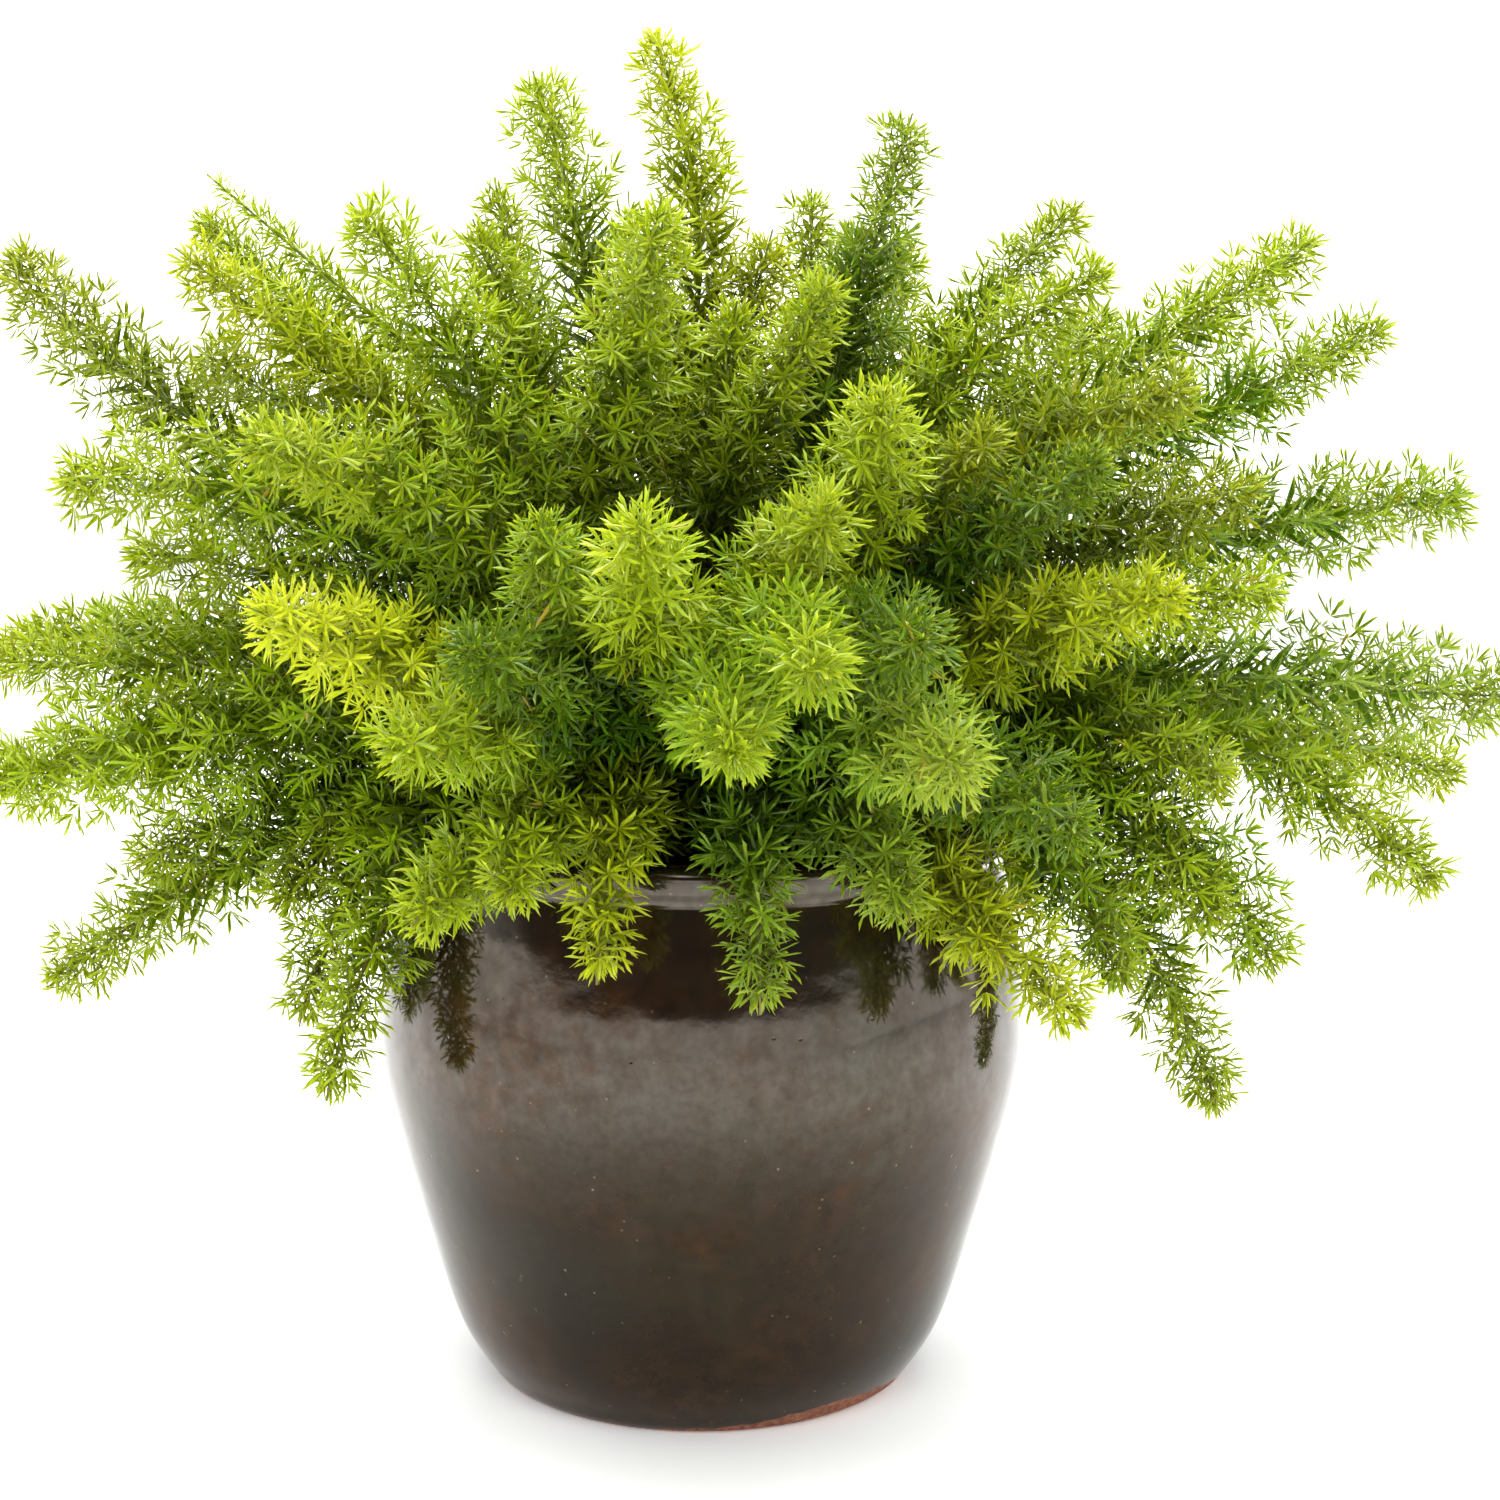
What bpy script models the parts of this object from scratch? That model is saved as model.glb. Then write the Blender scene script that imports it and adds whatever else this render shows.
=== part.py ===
# Potted foxtail fern: a glazed pot of soil with a dome of tapering, needled plumes.
# Metres, +Z up, the origin at the centre of the pot's base and the front towards -Y.
# The tables are in millimetres, which the functions turn into metres.

import math
from collections import namedtuple

import bmesh
import bpy
import numpy as np
from mathutils import Vector

MM = 0.001

# The pot, turned about Z: radius and height down its outside, in mm
POT_SIDES = 32
POT_OUTSIDE = [
    (149, 285), (154, 281), (154, 272), (151, 268), (158, 235), (164, 200), (164, 165),
    (156, 130), (141, 80), (125, 30), (108, 4), (105, 0),
]
POT_INSIDE = [
    (97, 15), (112, 30), (128, 80), (144, 130), (151, 165), (151, 200), (145, 235), (139, 268), (141, 283),
]
RIM_TOP = POT_OUTSIDE[0][1]
RIM_MIDDLE = (POT_OUTSIDE[1][0] + POT_INSIDE[-1][0]) / 2
FLOOR_TOP = POT_INSIDE[0][1]
MERGE_DISTANCE = 0.0001
DRAIN_COUNT = 3
DRAIN_SIDES = 10
DRAIN_RADIUS = 7
DRAIN_CIRCLE = 52

# The soil fills the pot to below the rim, and each stem stands in a hole in it
SOIL_TOP = 262
SOIL_GAP = 0.4
HOLE_DEPTH = 14
FIT_GAP = 0.3

# Roots follow a sunflower pattern out to this radius, the more outwards the lower the tip
ROOT_SPREAD = 104
ROOT_POWER = 0.8
GOLDEN_ANGLE = math.radians(137.508)

# A stem is a slim three-sided core, thinner on a plume under the shoot's radius
STEM_SIDES = 3
SHOOT_RADIUS = 15
FOOT_RADIUS = 2.2
CORE_RADIUS = 3.2
FORK_RADIUS = 1.5
TIP_RADIUS = 1.1
ROUTE_POINTS = 28
CURVE_SAMPLES = 200
AIM_STEP = 2
BARE_SHARE = 0.2
BARE_RINGS = 3

# How far a stem keeps its direction at its root and its tip, as shares of its span,
# and how much further where its tip hangs down more than some degrees
ROOT_PULL = 0.38
TIP_PULL = 0.42
DROOP_PULL = 0.5
DROOP_FROM = 30

# Whorls of needled side shoots stand round the core, six to a whorl
WHORL_STEP = 34
FEWEST_WHORLS = 3
WHORL_HEIGHT = 10
WHORL_TURN = math.radians(60)
STEP_TURN = math.radians(30)
TIP_LENGTH = 25
TAPER_LENGTH = 75
LEAN = 35
TIP_LEAN = 60

# Which share of its plume's radius a shoot reaches at some distances from the tip, and its limit
REACH_AT = [0, 35, 80, 160]
REACH_SHARES = [0.3, 0.72, 1.14, 1.45]
MOST_REACH = 40

# Shoots are shorter by up to this share, in an order that doesn't repeat
UNEVEN = 0.16
UNEVEN_STEP = 0.618

# Half the room between stems at their roots and past the open share of their length,
# the room round the rim, and how stems are bent until they have it
ROOT_ROOM = 4
PLUME_ROOM = 13
OPEN_SHARE = 0.4
RIM_ROOM = 15
RIM_BODY = 8
BEND_ROUNDS = 90
BEND_STEP = 0.5
SMOOTH_ROUNDS = 3

# How far needles stay off other plumes and the pot, and how their reach is tried
NEEDLE_ROOM = 0.8
POT_ROOM = 2.5
REACH_STEPS = 12
SHORTEST = 0.25

# Materials: sRGB colours and roughness, and the leaf colours from the yellowest to the darkest
GLAZE = (0.17, 0.12, 0.09)
GLAZE_ROUGHNESS = 0.08
SOIL = (0.16, 0.11, 0.08)
SOIL_ROUGHNESS = 0.95
LEAF_ROUGHNESS = 0.45
TONES = {
    "golden": (0.86, 0.86, 0.22),
    "yellow": (0.77, 0.79, 0.16),
    "lime": (0.64, 0.77, 0.16),
    "fresh": (0.52, 0.70, 0.13),
    "olive": (0.55, 0.57, 0.13),
    "mid": (0.40, 0.61, 0.09),
    "cool": (0.33, 0.58, 0.20),
    "dark": (0.25, 0.42, 0.08),
}

# Each plume's tip in mm, the tip's pitch in degrees, the plume's radius in mm and its tone.
# A few are given their root, in mm, or the heading of their tip, in degrees round from +X.
# Some are a further stem of a forked one, whose root and node they share.
Plume = namedtuple("Plume", "name tip pitch radius tone root heading shares", defaults=(None, None, None))
PLUMES = [
    # The crown's upright plumes
    Plume("plume_top_1", (-87, 40, 655), 68, 30, "lime"),
    Plume("plume_top_2", (-29, 50, 678), 66, 25, "yellow", (45, 10), 170),
    Plume("plume_top_3", (104, 40, 636), 70, 26, "cool"),
    Plume("plume_top_4", (-20, -110, 583), 76, 29, "lime", (-55, -30), -50),
    Plume("plume_top_5", (-115, 150, 611), 76, 22, "fresh"),
    Plume("plume_top_6", (60, -110, 551), 56, 22, "lime", None, -35),
    Plume("plume_top_7", (75, -200, 498), 42, 30, "lime", (62, -55), -92),
    Plume("plume_top_8", (57, 130, 605), 82, 26, "fresh"),
    Plume("plume_top_9", (-115, 10, 580), 66, 25, "lime", shares="plume_top_1"),
    Plume("plume_top_10", (34, 40, 578), 74, 26, "fresh", shares="plume_top_2"),
    Plume("plume_top_11", (15, -60, 539), 60, 26, "mid", shares="plume_top_6"),
    Plume("plume_top_12", (82, 70, 585), 76, 25, "mid", shares="plume_top_3"),
    # Plumes to the left
    Plume("plume_left_1", (-343, 0, 564), 54, 30, "olive"),
    Plume("plume_left_2", (-268, 90, 588), 42, 22, "fresh"),
    Plume("plume_left_3", (-258, -10, 564), 38, 25, "yellow"),
    Plume("plume_left_4", (-166, -60, 583), 48, 30, "lime", (-60, -20), 190),
    Plume("plume_left_5", (-301, -90, 453), -6, 32, "fresh"),
    Plume("plume_left_6", (-198, -190, 474), 4, 28, "fresh"),
    Plume("plume_left_7", (-376, 90, 362), -8, 22, "fresh"),
    Plume("plume_left_8", (-359, -10, 362), 4, 28, "lime"),
    Plume("plume_left_9", (-352, -80, 310), -8, 30, "lime"),
    Plume("plume_left_10", (-330, -20, 197), -38, 27, "fresh"),
    Plume("plume_left_11", (-175, -120, 168), -76, 23, "lime"),
    Plume("plume_left_12", (-264, 60, 518), 32, 28, "mid", shares="plume_left_2"),
    Plume("plume_left_13", (-282, -40, 418), 4, 33, "fresh", shares="plume_left_8"),
    Plume("plume_left_14", (-345, -40, 303), -22, 30, "lime", shares="plume_left_9"),
    Plume("plume_left_15", (-280, -40, 262), -32, 32, "mid", shares="plume_left_10"),
    Plume("plume_left_16", (-198, -50, 186), -76, 25, "fresh", shares="plume_left_11"),
    Plume("plume_left_17", (-210, -60, 245), -44, 31, "mid", shares="plume_left_5"),
    # A thin young shoot
    Plume("young_shoot", (-251, 40, 603), 40, 10, "lime"),
    # Plumes to the right
    Plume("plume_right_1", (199, 90, 597), 44, 20, "fresh"),
    Plume("plume_right_2", (195, -40, 559), 32, 24, "lime"),
    Plume("plume_right_3", (319, 60, 579), 35, 27, "lime"),
    Plume("plume_right_4", (345, 20, 533), 27, 26, "mid"),
    Plume("plume_right_5", (229, -90, 502), 18, 25, "olive"),
    Plume("plume_right_6", (391, 20, 448), 10, 31, "mid"),
    Plume("plume_right_7", (427, 30, 343), 0, 35, "cool"),
    Plume("plume_right_8", (415, 90, 291), -16, 24, "fresh"),
    Plume("plume_right_9", (370, -30, 252), -45, 28, "fresh"),
    Plume("plume_right_10", (277, -80, 220), -58, 34, "mid"),
    Plume("plume_right_11", (260, -40, 138), -72, 25, "fresh"),
    Plume("plume_right_12", (208, -190, 413), 10, 25, "yellow"),
    Plume("plume_right_13", (274, -90, 405), 5, 25, "lime"),
    Plume("plume_right_14", (174, -180, 472), 30, 26, "dark"),
    Plume("plume_right_15", (130, -150, 485), 42, 26, "olive"),
    Plume("plume_right_16", (222, 110, 540), 38, 27, "fresh", shares="plume_right_1"),
    Plume("plume_right_17", (268, -60, 452), 12, 29, "mid", shares="plume_right_5"),
    Plume("plume_right_18", (249, -100, 311), -36, 28, "olive", shares="plume_right_9"),
    Plume("plume_right_19", (198, -125, 222), -60, 29, "mid", shares="plume_right_10"),
    Plume("plume_right_20", (133, -190, 250), -36, 25, "mid", shares="plume_front_9"),
    Plume("plume_right_21", (250, -90, 245), -56, 30, "olive", shares="plume_right_11"),
    # Plumes towards the front
    Plume("plume_front_1", (-25, -290, 450), 38, 27, "lime"),
    Plume("plume_front_2", (-67, -230, 449), 52, 26, "mid"),
    Plume("plume_front_3", (44, -330, 391), -14, 26, "mid"),
    Plume("plume_front_4", (12, -320, 356), -22, 26, "mid"),
    Plume("plume_front_5", (54, -260, 452), 28, 26, "fresh", (25, -75), -62),
    Plume("plume_front_6", (104, -300, 349), -12, 30, "cool"),
    Plume("plume_front_7", (25, -215, 233), -80, 22, "cool"),
    Plume("plume_front_8", (-45, -215, 246), -80, 22, "yellow"),
    Plume("plume_front_9", (168, -190, 222), -34, 28, "yellow"),
    Plume("plume_front_10", (-123, -220, 272), -26, 27, "lime"),
    Plume("plume_front_11", (-189, -220, 407), 20, 27, "golden"),
    Plume("plume_front_12", (-97, -270, 396), 18, 27, "dark"),
    Plume("plume_front_13", (-128, -270, 354), -4, 26, "fresh"),
    Plume("plume_front_14", (87, -300, 402), 6, 27, "dark"),
    Plume("plume_front_15", (160, -240, 313), -24, 27, "dark"),
    Plume("plume_front_16", (88, -225, 276), -44, 26, "cool", shares="plume_front_6"),
    Plume("plume_front_17", (-84, -225, 282), -40, 26, "fresh", shares="plume_front_10"),
    # Plumes towards the back, which the photograph doesn't show
    Plume("plume_back_1", (-10, 330, 515), 34, 28, "fresh"),
    Plume("plume_back_2", (-150, 300, 480), 28, 28, "mid"),
    Plume("plume_back_3", (145, 290, 490), 26, 28, "olive"),
    Plume("plume_back_4", (-70, 355, 340), -8, 28, "lime"),
    Plume("plume_back_5", (70, 350, 345), -12, 28, "mid"),
    Plume("plume_back_6", (-275, 235, 310), -22, 28, "mid"),
    Plume("plume_back_7", (270, 235, 320), -18, 28, "fresh"),
    Plume("plume_back_8", (0, 245, 215), -66, 25, "cool"),
    Plume("plume_back_9", (-45, 235, 600), 52, 26, "fresh", shares="plume_back_1"),
    Plume("plume_back_10", (-255, 205, 475), 26, 28, "mid", shares="plume_back_2"),
    Plume("plume_back_11", (245, 200, 485), 24, 28, "olive", shares="plume_back_3"),
    Plume("plume_back_12", (-175, 315, 325), -16, 28, "lime", shares="plume_back_4"),
    Plume("plume_back_13", (170, 315, 325), -16, 28, "mid", shares="plume_back_5"),
    Plume("plume_back_14", (-185, 190, 200), -66, 25, "mid", shares="plume_back_6"),
    Plume("plume_back_15", (190, 195, 195), -66, 25, "fresh", shares="plume_back_7"),
    Plume("plume_back_16", (115, 195, 585), 60, 26, "fresh", shares="plume_top_8"),
]


# Vectors and the sunflower pattern of roots

def unit(vector):
    return vector / np.linalg.norm(vector)


def flat_direction(degrees):
    angle = math.radians(degrees)
    return np.array([math.cos(angle), math.sin(angle), 0.0])


def root_places(count):
    """Places for stems on the soil, on a sunflower's spiral."""
    places = []
    for number in range(count):
        radius = ROOT_SPREAD * math.sqrt((number + 0.5) / count)
        angle = number * GOLDEN_ANGLE
        places.append(np.array([radius * math.cos(angle), radius * math.sin(angle)]))
    return places


def wished_root(plume):
    """Upright plumes root near the middle, and drooping ones near the rim."""
    if plume.root:
        return np.array(plume.root, float)
    x, y, z = plume.tip
    outward = math.hypot(x, y)
    climb = math.degrees(math.atan2(z - SOIL_TOP, outward))
    share = 1 - max(0.0, min(climb, 90.0)) / 90
    return np.array([x, y]) / outward * ROOT_SPREAD * share ** ROOT_POWER


def share_out_roots():
    """Each stem takes the free place nearest to its wish, those with the lowest tips first."""
    rooted = [plume for plume in PLUMES if not plume.shares]
    free = root_places(len(rooted))
    roots = {}
    for plume in sorted(rooted, key=lambda p: (p.tip[2] - SOIL_TOP) / math.hypot(p.tip[0], p.tip[1])):
        wish = wished_root(plume)
        nearest = min(range(len(free)), key=lambda i: np.linalg.norm(free[i] - wish))
        roots[plume.name] = free.pop(nearest)
    for plume in PLUMES:
        if plume.shares:
            roots[plume.name] = roots[plume.shares]
    return roots


# The routes of the stems

def arched_route(plume, root):
    """A stem rises straight from the soil and arches over to its tip, in equal steps."""
    start = np.array([root[0], root[1], SOIL_TOP], float)
    end = np.array(plume.tip, float)
    if plume.heading is None:
        forward = unit(np.array([end[0] - start[0], end[1] - start[1], 0.0]))
    else:
        forward = flat_direction(plume.heading)
    pitch = math.radians(plume.pitch)
    aim = forward * math.cos(pitch) + np.array([0, 0, math.sin(pitch)])
    span = np.linalg.norm(end - start)
    rise = start + np.array([0, 0, ROOT_PULL * span])
    least = math.sin(math.radians(DROOP_FROM))
    droop = np.clip((-math.sin(pitch) - least) / (1 - least), 0, 1)
    before = end - aim * (TIP_PULL + DROOP_PULL * droop) * span
    t = np.linspace(0, 1, CURVE_SAMPLES)[:, None]
    fine = (1 - t) ** 3 * start + 3 * (1 - t) ** 2 * t * rise + 3 * (1 - t) * t ** 2 * before + t ** 3 * end
    return even_steps(fine, ROUTE_POINTS)


def lengths_along(route):
    steps = np.linalg.norm(np.diff(route, axis=0), axis=1)
    return np.concatenate([[0.0], np.cumsum(steps)])


def even_steps(route, count):
    along = lengths_along(route)
    wanted = np.linspace(0, along[-1], count)
    return np.stack([np.interp(wanted, along, route[:, axis]) for axis in range(3)], axis=1)


def bend_clear(routes):
    """Bends stems apart where they come too near each other or the pot's rim."""
    names = list(routes)
    points = np.stack([routes[name] for name in names])
    share = np.linspace(0, 1, ROUTE_POINTS)
    room = ROOT_ROOM + (PLUME_ROOM - ROOT_ROOM) * np.clip(share / OPEN_SHARE, 0, 1)
    for _ in range(BEND_ROUNDS):
        push = np.stack([neighbour_push(number, points, room) for number in range(len(names))])
        push += rim_push(points)
        push[:, 0] = 0
        push[:, -1] = 0
        for _ in range(SMOOTH_ROUNDS):
            push[:, 1:-1] = (push[:, :-2] + 2 * push[:, 1:-1] + push[:, 2:]) / 4
        points = points + BEND_STEP * push
    return {name: np.round(even_steps(points[i], ROUTE_POINTS), 2) for i, name in enumerate(names)}


def neighbour_push(number, points, room):
    """Which way, and how far, the other stems push the points of one stem."""
    mine = points[number]
    others = np.delete(points, number, axis=0).reshape(-1, 3)
    limit = room[:, None] + np.tile(room, len(points) - 1)[None, :]
    squared = sum((mine[:, None, axis] - others[None, :, axis]) ** 2 for axis in range(3))
    near, far = np.nonzero(squared < limit ** 2)
    distance = np.sqrt(squared[near, far]) + 1e-6
    lack = limit[near, far] - distance
    push = np.zeros_like(mine)
    np.add.at(push, near, (mine[near] - others[far]) / distance[:, None] * lack[:, None])
    count = np.bincount(near, minlength=len(mine))
    return push / np.maximum(count, 1)[:, None]


def rim_push(points):
    """Which way, and how far, the rim pushes a stem that passes too near it."""
    outward = np.sqrt(points[..., 0] ** 2 + points[..., 1] ** 2) + 1e-6
    across = outward - RIM_MIDDLE
    above = points[..., 2] - (RIM_TOP - RIM_BODY)
    distance = np.sqrt(across ** 2 + above ** 2) + 1e-6
    lack = np.maximum(RIM_ROOM + RIM_BODY - distance, 0)
    push = np.zeros_like(points)
    push[..., 0] = points[..., 0] / outward * across / distance * lack
    push[..., 1] = points[..., 1] / outward * across / distance * lack
    push[..., 2] = above / distance * lack
    return push


def place_along(route, wanted):
    along = lengths_along(route)
    return np.array([np.interp(wanted, along, route[:, axis]) for axis in range(3)])


def direction_along(route, wanted):
    return unit(place_along(route, wanted + AIM_STEP) - place_along(route, max(wanted - AIM_STEP, 0)))


# Rings of a stem, and the mesh that joins them

Ring = namedtuple("Ring", "centre along side radius turn to_tip")


def stem_rings(plume, route):
    """Rings from the foot in the soil to the tip, and which pairs of them hold a whorl."""
    length = lengths_along(route)[-1]
    core = CORE_RADIUS if plume.radius > SHOOT_RADIUS else FOOT_RADIUS
    leafy = BARE_SHARE * length
    last = length - TIP_LENGTH
    whorls = max(FEWEST_WHORLS, round((last - leafy) / WHORL_STEP))
    foot = route[0] - np.array([0, 0, HOLE_DEPTH - FIT_GAP])
    up = np.array([0.0, 0.0, 1.0])
    side = np.array([1.0, 0.0, 0.0])
    foot_radius = FOOT_RADIUS
    if plume.shares:
        foot = route[0] - up * HOLE_DEPTH / 2
        foot_radius = FORK_RADIUS
    rings = [Ring(place, up, side, foot_radius, 0.0, length) for place in (foot, route[0] + up)]
    whorl_starts = []
    turn = 0.0

    def add_ring(wanted):
        nonlocal side
        along = direction_along(route, wanted)
        side = unit(side - along * side.dot(along))
        marks = [0, leafy, last - TAPER_LENGTH, last]
        radius = np.interp(wanted, marks, [FOOT_RADIUS, core, core, TIP_RADIUS])
        rings.append(Ring(place_along(route, wanted), along, side, radius, turn, length - wanted))

    for number in range(1, BARE_RINGS):
        add_ring(leafy * number / BARE_RINGS)
    for number in range(whorls):
        start = leafy + (last - leafy) * (number + 1) / whorls - WHORL_HEIGHT
        whorl_starts.append(len(rings))
        add_ring(start)
        turn += WHORL_TURN
        add_ring(start + WHORL_HEIGHT)
        turn += STEP_TURN
    return rings, whorl_starts


def ring_corners(ring):
    across = np.cross(ring.along, ring.side)
    corners = []
    for number in range(STEM_SIDES):
        angle = ring.turn + 2 * math.pi * number / STEM_SIDES
        offset = ring.side * math.cos(angle) + across * math.sin(angle)
        corners.append(Vector((ring.centre + offset * ring.radius) * MM))
    return corners


def add_tube(mesh, rings):
    """Extrudes one ring's face through all the others, and returns the faces of each stretch."""
    bmesh.ops.create_circle(mesh, cap_ends=True, segments=STEM_SIDES, radius=MM)
    foot = cap = mesh.faces[:][-1]
    for corner, place in zip(cap.verts, ring_corners(rings[0])):
        corner.co = place
    stretches = []
    for ring in rings[1:]:
        grown = bmesh.ops.extrude_face_region(mesh, geom=[cap])["geom"]
        if cap is not foot:
            bmesh.ops.delete(mesh, geom=[cap], context="FACES")
        cap = next(item for item in grown if isinstance(item, bmesh.types.BMFace))
        for corner, place in zip(cap.verts, ring_corners(ring)):
            corner.co = place
        stretches.append([face for edge in cap.edges for face in edge.link_faces if face is not cap])
    return cap, stretches


# Needles

def needle_reach(plume, to_tip, number):
    """How far a needled shoot stands out from its stem, drawn in towards the plume's tip."""
    reach = min(plume.radius * np.interp(to_tip, REACH_AT, REACH_SHARES), MOST_REACH)
    uneven = 1 - UNEVEN * ((number * UNEVEN_STEP) % 1)
    return reach * uneven


def needle_lean(to_tip):
    return math.radians(LEAN + (TIP_LEAN - LEAN) * max(0.0, 1 - to_tip / TAPER_LENGTH))


def distance_to_routes(points, starts, ends):
    """Each point's distance to the nearest of some straight stretches."""
    run = ends - starts
    squared = (run ** 2).sum(axis=1)
    nearest = np.full(len(points), np.inf)
    for start, stretch, size in zip(starts, run, squared):
        share = np.clip(((points - start) * stretch).sum(axis=1) / size, 0, 1)
        offset = points - start - share[:, None] * stretch
        nearest = np.minimum(nearest, np.sqrt((offset ** 2).sum(axis=1)))
    return nearest


def pot_distance(points):
    """How far points stay from the pot's section, walls and soil."""
    section = np.array(POT_OUTSIDE[::-1] + POT_INSIDE[::-1], float)
    outward = np.sqrt(points[:, 0] ** 2 + points[:, 1] ** 2)
    flat = np.stack([outward, points[:, 2]], axis=1)
    wall = distance_to_routes(flat, section, np.roll(section, -1, axis=0))
    inside = outward < RIM_MIDDLE
    return np.where(inside, np.minimum(wall, points[:, 2] - SOIL_TOP), wall)


def clear_shares(roots, tips, name, routes):
    """The share of each needle's reach that keeps it in its own plume's space."""
    stations = (np.arange(REACH_STEPS) + 1) / REACH_STEPS
    points = roots[:, None, :] + (tips - roots)[:, None, :] * stations[None, :, None]
    points = points.reshape(-1, 3)
    own = distance_to_routes(points, routes[name][:-1], routes[name][1:])
    other_starts = np.concatenate([route[:-1] for key, route in routes.items() if key != name])
    other_ends = np.concatenate([route[1:] for key, route in routes.items() if key != name])
    reach = np.linalg.norm(tips - roots, axis=1).max() + 2 * PLUME_ROOM
    middle = (other_starts + other_ends) / 2
    near = distance_to_routes(middle, routes[name][:-1], routes[name][1:]) < 2 * reach
    other = distance_to_routes(points, other_starts[near], other_ends[near])
    thick = np.tile(CORE_RADIUS * (1 - stations), len(roots))
    clear = (other - own > 2 * thick + NEEDLE_ROOM) & (pot_distance(points) > POT_ROOM)
    clear = clear.reshape(len(roots), REACH_STEPS)
    blocked = np.argmin(clear, axis=1)
    return np.where(clear.all(axis=1), 1.0, blocked / REACH_STEPS)


def grow_needles(mesh, plume, rings, whorl_starts, stretches, routes):
    """Draws out the three-cornered faces of each whorl into needled shoots."""
    faces, roots, tips = [], [], []
    for start in whorl_starts:
        ring = rings[start]
        lean = needle_lean(ring.to_tip)
        split = bmesh.ops.triangulate(mesh, faces=stretches[start], quad_method="SHORT_EDGE")["faces"]
        for face in split:
            root = np.array(face.calc_center_median()) / MM
            outward = root - ring.centre
            outward = unit(outward - ring.along * outward.dot(ring.along))
            reach = needle_reach(plume, ring.to_tip, len(faces)) / math.cos(lean)
            faces.append(face)
            roots.append(root)
            tips.append(root + (outward * math.cos(lean) + ring.along * math.sin(lean)) * reach)
    roots = np.array(roots)
    tips = np.array(tips)
    shares = clear_shares(roots, tips, plume.name, routes)
    for face, root, tip, share in zip(faces, roots, tips, shares):
        if share >= SHORTEST:
            point = bmesh.ops.poke(mesh, faces=[face])["verts"][0]
            point.co = Vector((root + (tip - root) * share) * MM)


def build_plume(plume, routes, collection):
    """Makes one stem with its needles, and joins the stems that share its root."""
    rings, whorl_starts = stem_rings(plume, routes[plume.name])
    mesh = bmesh.new()
    cap, stretches = add_tube(mesh, rings)
    grow_needles(mesh, plume, rings, whorl_starts, stretches, routes)
    point = bmesh.ops.poke(mesh, faces=[cap])["verts"][0]
    point.co = Vector(routes[plume.name][-1] * MM)
    bmesh.ops.triangulate(mesh, faces=mesh.faces[:])
    stem = add_object(plume.name, mesh, collection, leaf_material(plume.tone))
    forks = new_collection("fork", bpy.context.scene.collection)
    for other in PLUMES:
        if other.shares == plume.name:
            build_plume(other, routes, forks)
    if forks.objects:
        join_with(stem, forks)
    for fork in forks.objects[:]:
        bpy.data.objects.remove(fork)
    bpy.data.collections.remove(forks)


# Materials

def to_linear(value):
    return value / 12.92 if value <= 0.04045 else ((value + 0.055) / 1.055) ** 2.4


def make_material(name, colour, roughness):
    material = bpy.data.materials.new(name)
    material.use_nodes = True
    surface = material.node_tree.nodes["Principled BSDF"]
    surface.inputs["Base Color"].default_value = [to_linear(value) for value in colour] + [1.0]
    surface.inputs["Roughness"].default_value = roughness
    surface.inputs["Metallic"].default_value = 0.0
    return material


def leaf_material(tone):
    return make_material("leaf_" + tone, TONES[tone], LEAF_ROUGHNESS)


# Objects

def add_object(name, mesh, collection, material=None):
    """Makes an object of a bmesh, with its faces pointing outwards."""
    bmesh.ops.recalc_face_normals(mesh, faces=mesh.faces[:])
    data = bpy.data.meshes.new(name)
    mesh.to_mesh(data)
    mesh.free()
    if material:
        data.materials.append(material)
    thing = bpy.data.objects.new(name, data)
    collection.objects.link(thing)
    return thing


def turned_object(name, profile, collection, material):
    """Turns a section about Z, whose corners run out from the axis and back to it."""
    data = bpy.data.meshes.new(name)
    corners = [(radius * MM, 0, height * MM) for radius, height in profile]
    data.from_pydata(corners, [(i, i + 1) for i in range(len(corners) - 1)], [])
    data.materials.append(material)
    thing = bpy.data.objects.new(name, data)
    collection.objects.link(thing)
    screw = thing.modifiers.new("Turned", "SCREW")
    screw.axis = "Z"
    screw.steps = POT_SIDES
    screw.render_steps = POT_SIDES
    screw.use_merge_vertices = True
    screw.merge_threshold = MERGE_DISTANCE
    screw.use_smooth_shade = False
    return thing


def join_with(thing, others):
    """Fuses a collection's objects into one, as its own mesh."""
    join = thing.modifiers.new("Joined", "BOOLEAN")
    join.operation = "UNION"
    join.operand_type = "COLLECTION"
    join.collection = others
    join.solver = "EXACT"
    evaluated = thing.evaluated_get(bpy.context.evaluated_depsgraph_get())
    data = bpy.data.meshes.new_from_object(evaluated)
    thing.modifiers.clear()
    thing.data = data


def cut_with(thing, cutters):
    cut = thing.modifiers.new("Holes", "BOOLEAN")
    cut.operand_type = "COLLECTION"
    cut.collection = cutters
    cut.solver = "EXACT"


def new_collection(name, parent):
    collection = bpy.data.collections.new(name)
    parent.children.link(collection)
    return collection


def hide_cutters(collection):
    for cutter in collection.objects:
        cutter.hide_render = True
        cutter.display_type = "WIRE"


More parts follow.
